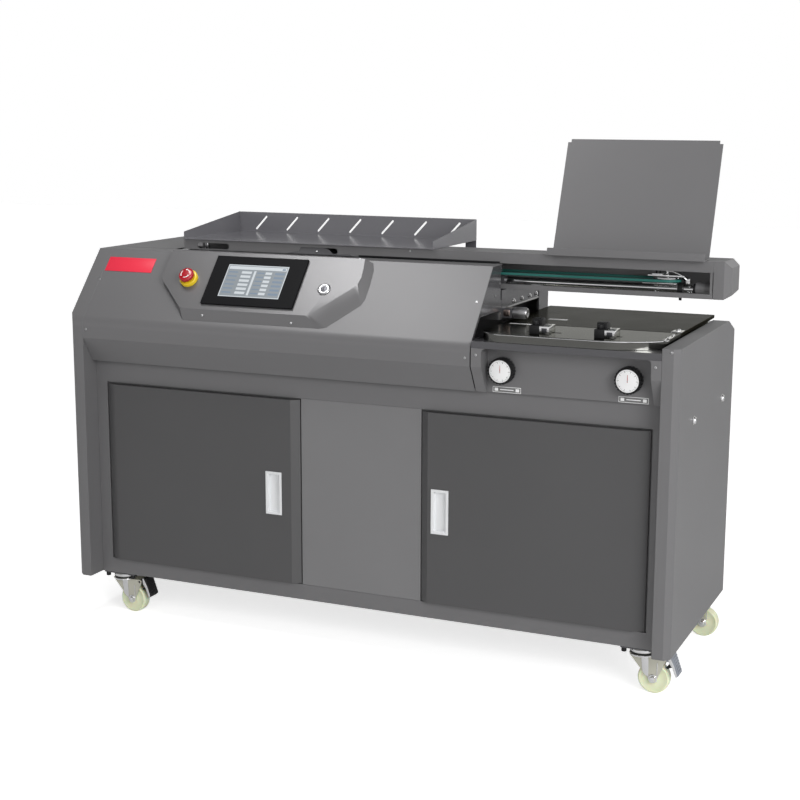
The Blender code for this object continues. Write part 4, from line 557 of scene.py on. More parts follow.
def ring_tree():
    """Bars set round a circle, pointing outward: knurls, ribs, teeth and the marks of a dial."""
    group, nodes, given = new_tree("ring_of_bars", (
        ("Count", "Int", 24), ("Radius", "Float", 0.03), ("Bar Depth", "Float", 0.002),
        ("Bar Width", "Float", 0.002), ("Bar Height", "Float", 0.01), ("Lean", "Float", 0.0)))
    ring = nodes.add("GeometryNodeMeshCircle", {"Vertices": given["Count"], "Radius": given["Radius"]})
    size = nodes.vector(X=given["Bar Depth"], Y=given["Bar Width"], Z=given["Bar Height"])
    bar = nodes.add("GeometryNodeMeshCube", {"Size": size})
    number = nodes.add("GeometryNodeInputIndex").outputs["Index"]
    angle = nodes.calc("MULTIPLY", nodes.calc("DIVIDE", number, given["Count"]), 2.0 * math.pi)
    end_tree(nodes, given, ring.outputs["Mesh"], bar.outputs["Mesh"],
             nodes.vector(X=given["Lean"], Z=angle))
    return group


def row_tree():
    """Bars in a straight row: the marks of a rule, ribs and lines."""
    group, nodes, given = new_tree("row_of_bars", (
        ("Count", "Int", 10), ("Pitch", "Vector", (0.01, 0.0, 0.0)),
        ("Bar Size", "Vector", (0.001, 0.005, 0.0004))))
    row = nodes.add("GeometryNodeMeshLine", {"Count": given["Count"], "Offset": given["Pitch"]},
                    mode="OFFSET")
    bar = nodes.add("GeometryNodeMeshCube", {"Size": given["Bar Size"]})
    end_tree(nodes, given, row.outputs["Mesh"], bar.outputs["Mesh"])
    return group


def tree(kind):
    """One of the three trees, made the first time it is asked for."""
    makers = {"screws": screw_tree, "ring": ring_tree, "row": row_tree}
    if kind not in TREES:
        TREES[kind] = makers[kind]()
    return TREES[kind]


def screw_points(places):
    """A mesh of loose points that carry the way each screw faces and its size."""
    mesh = bpy.data.meshes.new("points")
    mesh.from_pydata([tuple(place) for place, _, _ in places], [], [])
    way = mesh.attributes.new("facing", "FLOAT_VECTOR", "POINT")
    way.data.foreach_set("vector", [value for _, direction, _ in places for value in direction])
    scale = mesh.attributes.new("size", "FLOAT", "POINT")
    scale.data.foreach_set("value", [size for _, _, size in places])
    return mesh


# Sizes and colours

def colour_property(name, description, *channels):
    return FloatVectorProperty(name=name, description=description, default=(*channels, 1.0), size=4,
                               min=0.0, max=1.0, subtype="COLOR")


def length_property(name, description, value):
    return FloatProperty(name=name, description=description, default=value * MM, min=0.0,
                         unit="LENGTH", subtype="DISTANCE", precision=5)


def light_property(name, description, value, **more):
    return FloatProperty(name=name, description=description, default=value, min=0.0, **more)


class BINDER_PG_settings(bpy.types.PropertyGroup):
    body_colour: colour_property("Body", "Powder coat of the cabinet and the hood", 0.165, 0.163, 0.167)
    centre_colour: colour_property("Middle", "Powder coat of the middle panel", 0.203, 0.201, 0.205)
    door_colour: colour_property("Doors", "Powder coat of the two doors", 0.082, 0.081, 0.083)
    panel_colour: colour_property("Panels", "Glossy coat of the darker panels", 0.110, 0.109, 0.116)
    tray_colour: colour_property("Tray", "Glossy coat of the collecting tray", 0.140, 0.138, 0.150)
    black_colour: colour_property("Black", "Black mouldings", 0.010, 0.010, 0.011)
    steel_colour: colour_property("Steel", "Brushed steel", 0.50, 0.50, 0.51)
    table_colour: colour_property("Table", "Polished steel of the table", 0.22, 0.22, 0.208)
    nip_colour: colour_property("Nip plate", "Ground steel of the plate behind", 0.11, 0.107, 0.092)
    dark_steel_colour: colour_property("Dark steel", "Blackened steel", 0.10, 0.10, 0.11)
    bronze_colour: colour_property("Bronze", "Bushes", 0.30, 0.24, 0.22)
    chrome_colour: colour_property("Chrome", "Polished metal", 0.78, 0.78, 0.79)
    handle_colour: colour_property("Handles", "Satin metal of the handles", 0.84, 0.85, 0.86)
    fork_colour: colour_property("Forks", "Zinc coat of the forks", 0.56, 0.55, 0.47)
    pedal_colour: colour_property("Pedal", "Zinc coat of the right pedal", 0.30, 0.32, 0.36)
    red_colour: colour_property("Red", "Emergency stop head", 0.42, 0.008, 0.018)
    plate_colour: colour_property("Plate", "Bare plate on the slope", 0.80, 0.040, 0.075)
    yellow_colour: colour_property("Yellow", "Emergency stop ring", 0.85, 0.60, 0.02)
    label_colour: colour_property("Labels", "Ground of the small plates", 0.16, 0.16, 0.16)
    white_colour: colour_property("White", "Printed faces", 0.85, 0.85, 0.85)
    nylon_colour: colour_property("Nylon", "Caster wheels", 0.76, 0.79, 0.56)
    belt_colour: colour_property("Belt", "Drive belt", 0.012, 0.13, 0.11)
    screen_colour: colour_property("Screen", "Ground of the screen", 0.27, 0.30, 0.325)
    floor_colour: colour_property("Floor", "Studio floor", 0.92, 0.92, 0.92)
    paint_roughness: FloatProperty(name="Paint roughness", description="Roughness of the powder coat",
                                   default=0.42, min=0.05, max=1.0, subtype="FACTOR")
    edge: length_property("Edge", "Rounding of sheet edges", 0.7)
    screw_radius: length_property("Screw", "Radius of a cover screw's head", 3)
    dial_face: length_property("Dial face", "Radius of the white face", 26.25)
    dial_knurls: IntProperty(name="Knurls", description="Ribs round each dial", default=24, min=6,
                             max=90)
    key_power: light_property("Key light", "Power of the light on the right", 78.0, unit="POWER")
    softbox_power: light_property("Softbox", "Power of the softbox overhead", 21.0, unit="POWER")
    horizon: light_property("Horizon", "Strength of the surround at head height", 0.76)
    side_sky: light_property("Side sky", "Strength of the surround high on the right", 1.33)
    floor_glow: light_property("Floor glow", "How far the floor fades into the backdrop", 0.68)


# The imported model's own pieces

NODE_FINISH = {
    "body": ("left_side_panel", "right_side_panel", "base_pan", "main_deck", "back_panel",
             "front_frame", "rear_top_plate", "hood_cover", "dial_fascia", "beam_housing",
             "beam_end_cap", "reading_board"),
    "door": ("left_door", "right_door"),
    "panel": ("hood_right_end", "left_drive_post", "deck_plate", "carriage",
              "front_left_caster_plate", "front_right_caster_plate"),
    "handle": ("left_door_handle", "right_door_handle"),
    "bezel": ("touch_screen_bezel",),
    "pod": ("control_pod",),
    "centre": ("centre_panel",),
    "table": ("cover_table",),
    "nip": ("rear_nip_plate",),
    "tray": ("collecting_tray",),
    "steel": ("hood_hinge_rod", "left_lead_screw", "right_lead_screw", "front_clamp_jaw", "glue_tank",
              "left_glue_roller", "right_glue_roller", "milling_cutter"),
    "chrome": ("guide_rod", "left_belt_pulley", "right_belt_pulley"),
    "belt": ("drive_belt",),
    "dark_steel": ("milling_motor",),
    "fork": ("front_left_caster_fork", "front_right_caster_fork", "rear_left_caster_bracket",
             "rear_right_caster_bracket"),
    "pedal": ("front_right_brake_pedal",),
}


def soften(thing, width):
    """Merges a node's triangles into faces and rounds its edges, through modifiers only."""
    weld = thing.modifiers.new("weld", "WELD")
    weld.merge_threshold = 0.00001
    flat = thing.modifiers.new("flat", "DECIMATE")
    flat.decimate_type = "DISSOLVE"
    flat.angle_limit = math.radians(0.5)
    round_edges(thing, width, 2, 28.0)
    even = thing.modifiers.new("even", "WEIGHTED_NORMAL")
    even.keep_sharp = True


class BINDER_OT_coat(bpy.types.Operator):
    """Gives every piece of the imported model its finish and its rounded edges"""
    bl_idname = "binder.coat"
    bl_label = "Finishes"

    def execute(self, context):
        size = context.scene.binder
        made = finishes(size)
        finish = {name: key for key, names in NODE_FINISH.items() for name in names}
        for name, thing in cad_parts.items():
            thing.data.materials.clear()
            thing.data.materials.append(made[finish.get(name, "black")])
            for face in thing.data.polygons:
                face.use_smooth = True
            soften(thing, size.edge)
        return {"FINISHED"}


# Screws, by what they stand on

SLOPE_SCREWS = ((40, 110, 1.0), (1094.8, 105, 1.0), (761, 211, 0.8))
BAND_SCREWS = ((51.6, 663), (1098.5, 659.5))
BEVEL_SCREWS = ((390.2, 12.7, 8.8), (639.5, 9.3, 6.3))
BEVEL_WAY = (0.0, -0.592, 0.806)
FRONT_SCREWS = ((1125, 0, 668), (1546, 0, 668.5), (1581, 0, 703.6), (864, 222, 878))
CHEEK_SCREWS = ((1109, 200, 812), (1109, 169, 785))
SIDE_BOLT_PLACES = ((1600, 150, 528), (1600, 449, 528))
SIDE_BOLT = ((0, 0), (10.2, 0), (10.2, 1.4), (8.8, 1.9), (8.6, 4.4), (7.2, 6.2), (4.6, 6.7), (4.2, 3),
             (0, 3))


def cover_screws():
    """Every visible screw by the body it rides on: its place, the way it faces and its size."""
    slope = slope_matrix().to_3x3()
    bevel = slope @ Vector(BEVEL_WAY)
    hood = [(slope_matrix(x, s).translation, slope @ Vector(UP), share) for x, s, share in SLOPE_SCREWS]
    hood += [(at(x, 0, z), Vector(FRONT), 1.0) for x, z in BAND_SCREWS]
    hood += [(slope_matrix(*place).translation, bevel, 1.0) for place in BEVEL_SCREWS]
    cabinet = [(at(*place), Vector(FRONT), 1.0) for place in FRONT_SCREWS]
    cabinet += [(at(*place), Vector(RIGHT), 1.0) for place in CHEEK_SCREWS]
    return {"hood": hood, "cabinet": cabinet}


class BINDER_OT_screws(bpy.types.Operator):
    """Sets the cover screws on the hood, the block and the right side"""
    bl_idname = "binder.screws"
    bl_label = "Screws"

    def execute(self, context):
        size = context.scene.binder
        finishes(size)
        radius = size.screw_radius
        for body, places in cover_screws().items():
            shape = Shape()
            shape.grown("steel", tree("screws"), {"Head Radius": radius, "Head Height": radius * 0.5,
                                                  "Recess Width": radius * 0.28, "Seed": 3},
                        Matrix.Identity(4), screw_points(places))
            shape.finish(f"{body}_screws", body)
        shape = Shape()
        for place in SIDE_BOLT_PLACES:
            shape.lathe("chrome", SIDE_BOLT, facing(*place, RIGHT), 48)
        shape.finish("side_bolts", "cabinet")
        return {"FINISHED"}


# Dials

DIAL_BACK = 26
DIAL_GROUND = 24.3
DIAL_PRINT = 25
DIAL_RIBS = (28.7, (4.4, 4.2, 21.5))
DIAL_MARKS = ((50, 23, (2.2, 0.42, 0.2)), (10, 21.8, (4.6, 0.8, 0.2)))
NEEDLE = ((-0.9, -3), (0.9, -3), (0.3, 14.5), (-0.3, 14.5))
NEEDLE_PIN = ((0, 25), (1.6, 25), (1.4, 25.9), (0, 26))
LABEL_SIDE = 9
LABEL_Z = 583.8
LABEL_HALF = (34.5, 6.8)
LABEL_RIM = 1.1
LABEL_LIFTS = (0, 0.4, 0.6)
LABEL_SQUARE = (21.5, 30, 3.6)
LABEL_BAR = (16.5, 1)


def dial(shape, size, place):
    """A knurled knob with a white face, marks and a red needle, built along local Z from its back."""
    face = size.dial_face / MM
    shape.lathe("black", ((0, -40.3), (5, -40.3), (5, 0), (28.4, 0), (29.2, 1.5), (29.2, 22.5), (28, 25),
                          (27.2, 26), (face, 25.7), (face, DIAL_GROUND), (0, DIAL_GROUND)), place)
    shape.ring("black", place, 12.5, size.dial_knurls, *DIAL_RIBS)
    rim = face - 0.2
    shape.lathe("white", ((0, DIAL_GROUND), (rim, DIAL_GROUND), (rim, DIAL_PRINT), (0, DIAL_PRINT)), place)
    for count, radius, bar in DIAL_MARKS:
        shape.ring("black", place, DIAL_PRINT, count, radius, bar)
    shape.prism("red", NEEDLE, 25.2, 25.6, place)
    shape.lathe("chrome", NEEDLE_PIN, place, 32)


def label_plate(shape, place):
    """A black plate with a white rim, two white squares and a bar, with nothing written on it."""
    x, y = LABEL_HALF
    back, ground, print_top = LABEL_LIFTS
    near, far, high = LABEL_SQUARE
    bar_x, bar_y = LABEL_BAR
    shape.box("label", (-x, -y, back), (x, y, ground), place)

    def white(low_x, high_x, low_y, high_y):
        shape.box("white", (low_x, low_y, ground), (high_x, high_y, print_top), place)

    for way in (-1, 1):
        white(-x, x, *sorted((way * y, way * (y - LABEL_RIM))))
        white(*sorted((way * x, way * (x - LABEL_RIM))), LABEL_RIM - y, y - LABEL_RIM)
        white(*sorted((way * far, way * near)), -high, high)
    white(-bar_x, bar_x, -bar_y, bar_y)


class BINDER_OT_dials(bpy.types.Operator):
    """Builds the two dials and the plates under them"""
    bl_idname = "binder.dials"
    bl_label = "Dials"

    def execute(self, context):
        size = context.scene.binder
        finishes(size)
        labels = Shape()
        for side in ("left", "right"):
            low, _, middle = node_box(f"{side}_dial_knob")
            shape = Shape()
            dial(shape, size, facing(middle.x, low.y + DIAL_BACK, middle.z, FRONT))
            knob = shape.finish(f"{side}_dial", f"{side}_dial", 0.3)
            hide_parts(f"{side}_dial_knob")
            label_plate(labels, facing(middle.x + LABEL_SIDE, low.y + 26.3, LABEL_Z, FRONT))
        labels.finish("dial_plates", "cabinet", 0.1)
        return {"FINISHED"}


# Control pod, across the slope, up it and off it

STOP_PLACE = (321, 112)
STOP_RING = ((12, 18.3), (23.5, 18.3), (23.5, 26.2), (22.9, 27.5), (21.5, 28.3), (13.5, 28.3), (12, 27.5))
STOP_HEAD = ((0, 8.5), (11.5, 8.5), (11.5, 30.5), (12.5, 32.8), (17.5, 33), (19.2, 33.8), (19.9, 35.5),
             (20, 37.5), (19.7, 39.8), (18.8, 41.7), (17, 43), (14, 43.9), (9, 44.6), (0, 44.8))
ARROW_RADIUS = 11.8
ARROW_HALF = 1
ARROW_TIP_HALF = 2.6
ARROW_STEPS = 10
ARROW_TURN = math.radians(66.0)
ARROW_TIP_TURN = math.radians(84.0)
KEY_PLACE = (704, 104)
KEY_COLLAR = ((0, 2), (11, 2), (11, 18.3), (16.5, 18.3), (16.5, 20), (15, 21.5), (13, 22.3), (11, 22.3),
              (10.4, 21.2), (8.8, 21.2), (0, 21.2))
KEY_PLUG = ((0, 21.1), (8.6, 21.1), (8.6, 21.9), (8, 22.4), (0, 22.4))
# The keyway, as a black bar on the plug's face: painted shade of the hole.
KEYWAY_SHADE = ((-1.1, -6, 22.3), (1.1, 6, 22.6))
BARE_PLATE = ((45, 137, 0.2), (187, 181, 1.2))
SCREEN_X = (422.5, 592.5)
SCREEN_S = (64.5, 160.5)
SCREEN_GROUND = 22.9
SCREEN_FACE = 23.5
SCREEN_RIM = 2.2
# Each column's middle, its rows' width and height, and their tone
SCREEN_COLUMNS = ((442, 26, 3.5, "screen_dark"), (480, 28, 7, "screen_light"),
                  (520, 20, 3.5, "screen_dark"), (542, 18, 7, "screen_light"),
                  (573, 26, 6, "screen_dark"))


def around(radius, angle):
    return radius * math.cos(angle), radius * math.sin(angle)


def head_arrow(shape, turn, place):
    """A curved white arrow that lies on the stop head's dome."""
    angles = [turn + ARROW_TURN * i / ARROW_STEPS for i in range(ARROW_STEPS + 1)]
    outer = [around(ARROW_RADIUS + ARROW_HALF, angle) for angle in angles]
    inner = [around(ARROW_RADIUS - ARROW_HALF, angle) for angle in angles]
    root = turn + ARROW_TURN
    tip = [around(ARROW_RADIUS + ARROW_TIP_HALF, root), around(ARROW_RADIUS, turn + ARROW_TIP_TURN),
           around(ARROW_RADIUS - ARROW_TIP_HALF, root)]
    shape.prism("white", outer + tip + inner[::-1], 42.8, 44.6, place)


class BINDER_OT_pod(bpy.types.Operator):
    """Builds the emergency stop, the key switch and the touch screen"""
    bl_idname = "binder.pod"
    bl_label = "Control pod"

    def execute(self, context):
        finishes(context.scene.binder)
        self.stop(slope_matrix(*STOP_PLACE))
        self.key(slope_matrix(*KEY_PLACE))
        self.screen(slope_matrix())
        shape = Shape()
        shape.box("plate", *BARE_PLATE, slope_matrix())
        shape.finish("bare_plate", "hood", 0.3)
        return {"FINISHED"}

    def stop(self, place):
        shape = Shape()
        shape.lathe("yellow", STOP_RING, place)
        ring = shape.finish("stop_ring", "hood")
        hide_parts("emergency_stop_ring")
        shape = Shape()
        shape.lathe("red", STOP_HEAD, place)
        for i in range(3):
            head_arrow(shape, math.radians(20.0 + 120.0 * i), place)
        head = shape.finish("stop_head", "emergency_stop", sharp=32.0)
        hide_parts("emergency_stop_button")

    def key(self, place):
        shape = Shape()
        shape.lathe("steel", KEY_COLLAR, place)
        shape.lathe("dark_steel", KEY_PLUG, place)
        # A ring of dark bars round the collar paints the shade of a groove, and the black bar paints the
        # keyway's shade.
        shape.ring("dark_steel", place, 19.2, 40, 16.3, (0.6, 0.7, 1.2))
        shape.box("black", *KEYWAY_SHADE, place)
        lock = shape.finish("key_lock", "key_switch", 0.1)
        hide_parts("key_switch_barrel")

    def screen(self, place):
        """The lit screen in the bezel's recess, with plain blocks for its rows."""
        low_x, high_x = SCREEN_X
        low_s, high_s = SCREEN_S
        inner_s = (low_s + SCREEN_RIM, high_s - SCREEN_RIM)
        shape = Shape()
        shape.box("screen", (low_x, low_s, SCREEN_GROUND), (high_x, high_s, SCREEN_FACE), place)

        def block(key, x, s, low, high):
            shape.box(key, (x[0], s[0], SCREEN_FACE + low), (x[1], s[1], SCREEN_FACE + high), place)

        block("screen_light", SCREEN_X, (low_s, low_s + SCREEN_RIM), 0, 0.2)
        block("screen_light", SCREEN_X, (high_s - SCREEN_RIM, high_s), 0, 0.2)
        block("screen_light", (low_x, low_x + SCREEN_RIM), inner_s, 0, 0.2)
        block("screen_light", (high_x - SCREEN_RIM, high_x), inner_s, 0, 0.2)
        block("screen_light", (low_x + 4, high_x - 4), (high_s - 13.5, high_s - 4.5), 0, 0.1)
        block("screen_dark", (high_x - 16, high_x - 7), (high_s - 11.5, high_s - 7), 0.1, 0.2)
        block("screen_light", (500, 506), (low_s + 6, high_s - 17), 0, 0.1)
        for x, width, height, key in SCREEN_COLUMNS:
            shape.row(key, slope_matrix(x, low_s + 12.5, SCREEN_FACE + 0.1), 6, (0, 12.2, 0),
                      (width, height, 0.2))
        shape.finish("touch_screen", "hood")


# Table and its stops

# Each front corner's centre, its reaches, and the angle that its curve starts at
TABLE_CORNERS = ((1182, 57, 50, 180.0), (1418, 137, 72, 90.0))
TABLE_CURVE = 1.18
TABLE_Y = 3
TABLE_TOP = 720
RIM_Z = 718.4
PRINT_Z = (719.9, 720.4)
# Each set of a rule's marks: count, pitch and length
RULE_MARKS = ((30, 1, 3), (7, 5, 5.5))
RULE_X = 1144
RULE_BACK_Y = 186.2
HEX_BOLT = (4.2, 3.6)
STOP_WIDTH = 23.5
STOP_KNOB = ((0, 0), (6.2, 0), (6.8, 0.8), (6.8, 9.5), (6, 10.5), (0, 10.5))
STOP_NUT = ((5.5, -7), (11, -7), (11, 7), (5.5, 7))


def table_front():
    """The table's front edge, with its two rounded corners."""
    points = []
    for x, reach_x, reach_y, start in TABLE_CORNERS:
        for i in range(13):
            angle = math.radians(start - 90.0 * i / 12)
            across = math.copysign(abs(math.cos(angle)) ** TABLE_CURVE, math.cos(angle))
            back = 1.0 - abs(math.sin(angle)) ** TABLE_CURVE
            points.append((x + reach_x * across, TABLE_Y + reach_y * back, RIM_Z))
    return points


def hex_bolt(shape, key, place, radius, height):
    """A hexagon head with a chamfered top on a washer, along local Z."""
    shape.lathe(key, ((0, 0), (radius, 0), (radius, height * 0.8), (radius * 0.85, height), (0, height)),
                place, 6)
    washer = radius * 1.35
    top = height * 0.18
    shape.lathe(key, ((0, -0.4), (washer, -0.4), (washer, top), (0, top)), place, 48)


class BINDER_OT_table(bpy.types.Operator):
    """Builds the side stops, the rule and the bolts on the table"""
    bl_idname = "binder.table"
    bl_label = "Table"

    def execute(self, context):
        finishes(context.scene.binder)
        for side in ("left", "right"):
            self.side_stop(side)
        low_z, high_z = PRINT_Z
        shape = Shape()
        shape.box("white", (1143, 176.5, low_z), (1202, 186.6, high_z))
        for count, pitch, length in RULE_MARKS:
            place = Matrix.Translation(at(RULE_X, RULE_BACK_Y - length / 2, high_z))
            shape.row("black", place, count, (pitch, 0, 0), (0.3, length, 0.1))
        # A chrome bead along the table's front edge, brighter than the table's steel: painted highlight on
        # the edge.
        shape.tube("chrome", table_front(), 1.3, sides=8)
        shape.finish("table_rule_and_edge_highlight", "cabinet")
        shape = Shape()
        for y in (62, 98, 140):
            hex_bolt(shape, "chrome", facing(1548.5, y, TABLE_TOP, UP), *HEX_BOLT)
        shape.box("chrome", (1544, 56, low_z), (1554.5, 146, TABLE_TOP + 0.8))
        shape.finish("table_bolts", "cabinet", 0.3)
        shape = Shape()
        shape.box("white", (1204, 285, low_z), (1250, 301, high_z))
        shape.box("chrome", (1530, 193.5, low_z), (1554.5, 230, TABLE_TOP + 1.2))
        for y in (203, 221):
            hex_bolt(shape, "chrome", facing(1543, y, TABLE_TOP + 1.2, UP), *HEX_BOLT)
        shape.finish("nip_plate_fittings", "nip_plate", 0.2)
        return {"FINISHED"}

    def side_stop(self, side):
        """A black bracket beside a bright block, on an arm that reaches down to the lead screw."""
        x = node_box(f"{side}_side_stop")[0].x
        middle = x + STOP_WIDTH
        foot = TABLE_TOP + 0.3
        shape = Shape()
        shape.box("black", (x, 36, foot), (middle, 60, 739.5))
        shape.box("black", (x, 58, foot), (middle, 84, 752))
        shape.lathe("black", STOP_KNOB, facing(x + 11.5, 47, 739.5, UP), 48)
        shape.box("chrome", (x + 24, 36, foot), (x + 47, 84, 738.5))
        shape.box("dark_steel", (x + 29, 35.7, 724.5), (x + 42, 36.2, 734.5))
        shape.box("steel", (x + 30, 42, 738.5), (x + 41, 78, 739.3))
        shape.box("dark_steel", (middle - 6, 71, 636), (middle + 6, 81, 721.5))
        shape.lathe("steel", STOP_NUT, facing(middle, 90, 630, RIGHT), 6)
        stop = shape.finish(f"{side}_stop_block", f"{side}_stop", 0.5)
        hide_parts(f"{side}_side_stop")


# Beam

ROD_RADIUS = 10
ROD_END = 9.2
ROD_COLLAR = ((10.2, 0), (16, 0), (16.8, 1), (16.8, 12.5), (16, 13.5), (10.2, 13.5))
ROD_NUT = ((10.2, 0), (12.8, 0), (14, 1), (14, 5.5), (10.2, 5.5))
TENSIONER_BOXES = (((1460, 238, 843), (1546, 242, 846.2)), ((1470, 238, 846.2), (1495, 256, 849)),
                   ((1547, 252, 826.8), (1556, 270, 838.5)))
TENSIONER_BARS = ((((1447, 241.5, 826.2), (1528, 241.5, 826.2)), 2.2),
                  (((1508, 240, 856), (1520, 240, 854.8), (1533, 240, 850), (1543, 240, 844.5),
                    (1550, 240, 838)), 2.2),
                  (((1459, 245, 800), (1492, 245, 800)), 1.6),
                  (((1478, 245, 800), (1478, 245, 808)), 1.8))
LATCH = ((515, 858), (706, 858), (700, 862.5), (652, 862.5), (642, 872), (628, 876.2), (562, 876.2),
         (556, 866), (540, 863))
LATCH_PIN = ((0, 0), (3, 0), (2.6, 1.2), (0, 1.6))
BEAM_FRONT_Y = 220.3
WIRE = ((1177, 235, 809.3), (1230, 235, 805.5), (1290, 235, 803.2), (1360, 235, 802.4),
        (1431, 235, 802.5), (1456, 235, 802))
PULLEY = ((0, 0), (33, 0), (34, 0.6), (34, 1.6), (33.2, 2), (33.2, 6.8), (34, 7.2), (34, 10.2), (33, 11),
          (29, 11), (28, 9.8), (13, 9.8), (12, 11), (6, 11))


class BINDER_OT_beam(bpy.types.Operator):
    """Builds the bright fittings round the beam's rod and pulley"""
    bl_idname = "binder.beam"
    bl_label = "Beam fittings"

    def execute(self, context):
        finishes(context.scene.binder)
        low, high, middle = node_box("guide_rod")
        length = high.x - low.x
        shape = Shape()
        shape.lathe("chrome", ((0, 0), (ROD_END, 0), (ROD_RADIUS, 1), (ROD_RADIUS, length - 1),
                               (ROD_END, length), (0, length)), facing(low.x, middle.y, middle.z, RIGHT))
        bar = shape.finish("guide_bar", "cabinet")
        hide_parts("guide_rod")
        shape = Shape()
        shape.lathe("black", ROD_COLLAR, facing(1528, middle.y, middle.z, RIGHT), 64)
        shape.box("black", (1529, 256, 823), (1540.5, 268, 836))
        shape.tube("black", ((1532.5, middle.y, 800), (1532.5, middle.y, 786.5)), 3.6)
        shape.lathe("black", ROD_NUT, facing(1564, middle.y, middle.z, RIGHT), 64)
        for x in (1478, 1486.5):
            shape.tube("black", ((x, 248, 842), (x, 248, 880)), 2.2)
        shape.finish("rod_collars", "cabinet", 0.4)
        shape = Shape()
        for corners in TENSIONER_BOXES:
            shape.box("chrome", *corners)
        for points, radius in TENSIONER_BARS:
            shape.tube("chrome", points, radius)
        shape.finish("belt_tensioner", "cabinet", 0.3)
        shape = Shape()
        shape.prism("panel", LATCH, BEAM_FRONT_Y, BEAM_FRONT_Y + 1.8, elevation())
        # A black strip along the foot of the beam's band, over the hood's top edge: painted shadow of the
        # gap between them.
        shape.box("black", (724, 220.8, 857.8), (1100, 222.1, 862.2))
        shape.lathe("chrome", LATCH_PIN, facing(607, BEAM_FRONT_Y, 866, FRONT), 24)
        shape.finish("hood_latch_and_gap_shadow", "cabinet", 0.4)
        shape = Shape()
        shape.tube("steel", WIRE, 1.1, sides=8)
        shape.finish("sensor_wire", "cabinet")
        for side in ("left", "right"):
            self.pulley(side)
        return {"FINISHED"}

    def pulley(self, side):
        """A flanged belt pulley with a recessed face on its shaft."""
        low, high, middle = node_box(f"{side}_belt_pulley")
        place = facing(middle.x, middle.y, low.z, UP)
        top = high.z - low.z
        shape = Shape()
        shape.lathe("chrome", (*PULLEY, (6, top), (0, top)), place)
        shape.ring("dark_steel", place, 4.4, 60, 33.3, (1, 1.6, 4.8))
        wheel = shape.finish(f"{side}_pulley_wheel", f"{side}_pulley")
        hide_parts(f"{side}_belt_pulley")


# Clamp carriage

KNOB_LENGTH = 36
KNOB_NECK = 4.5
KNOB_RADIUS = 13
CLAMP_BUSH = ((1110.2, 211.2, 727.4), (1134.8, 244.8, 751.6))
# From the carriage's right edge back to its end plate
CARRIAGE_END = 25
CARRIAGE_BOLTS_Y = (300, 360, 420, 470)
CARRIAGE_BOLTS_Z = 758


class BINDER_OT_carriage(bpy.types.Operator):
    """Builds the clamp knob and the fittings on the carriage's end"""
    bl_idname = "binder.carriage"
    bl_label = "Carriage"

    def execute(self, context):
        finishes(context.scene.binder)
        low, high, middle = node_box("clamp_knob")
        length = high.x - low.x
        place = facing(low.x, middle.y, middle.z, RIGHT)
        neck = length - KNOB_LENGTH
        dish = length - 1.2
        shape = Shape()
        shape.lathe("dark_steel", ((0, 0), (KNOB_NECK, 0), (KNOB_NECK, neck), (0, neck)), place, 48)
        shape.lathe("steel", ((0, neck), (12.2, neck), (KNOB_RADIUS, neck + 1), (KNOB_RADIUS, length - 3),
                              (11.5, length - 0.5), (9, length), (8, dish), (0, dish)), place)
        shape.ring("steel", place, neck + 17, 24, KNOB_RADIUS, (2, 1.8, 30))
        knob = shape.finish("clamp_grip", "clamp_knob", 0.2)
        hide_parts("clamp_knob")
        shape = Shape()
        shape.box("bronze", *CLAMP_BUSH)
        shape.finish("clamp_bush", "clamp_carriage", 8, 5)
        end = node_box("carriage")[1].x - CARRIAGE_END
        shape = Shape()
        for y in CARRIAGE_BOLTS_Y:
            hex_bolt(shape, "chrome", facing(end - 0.5, y, CARRIAGE_BOLTS_Z, RIGHT), 4.8, 4)
        shape.box("steel", (end - 0.6, 250, 746), (end + 1.6, 485, 750))
        shape.finish("carriage_bolts", "clamp_carriage", 0.3)
        return {"FINISHED"}


# Stations under the hood

DRUM_INSET = 9
DRUM_RADIUS = 32
DRUM_SHAFT = 5
TANK_SHEET = 3.5
GLUE_TOP = 60
CUTTER = ((10.3, 0), (74, 0), (76, 2), (76, 10), (70, 13), (30, 13), (28, 16), (10.3, 16))
MOTOR_FLANGE = 45
MOTOR_RADIUS = 41
MOTOR_NOSE = 22


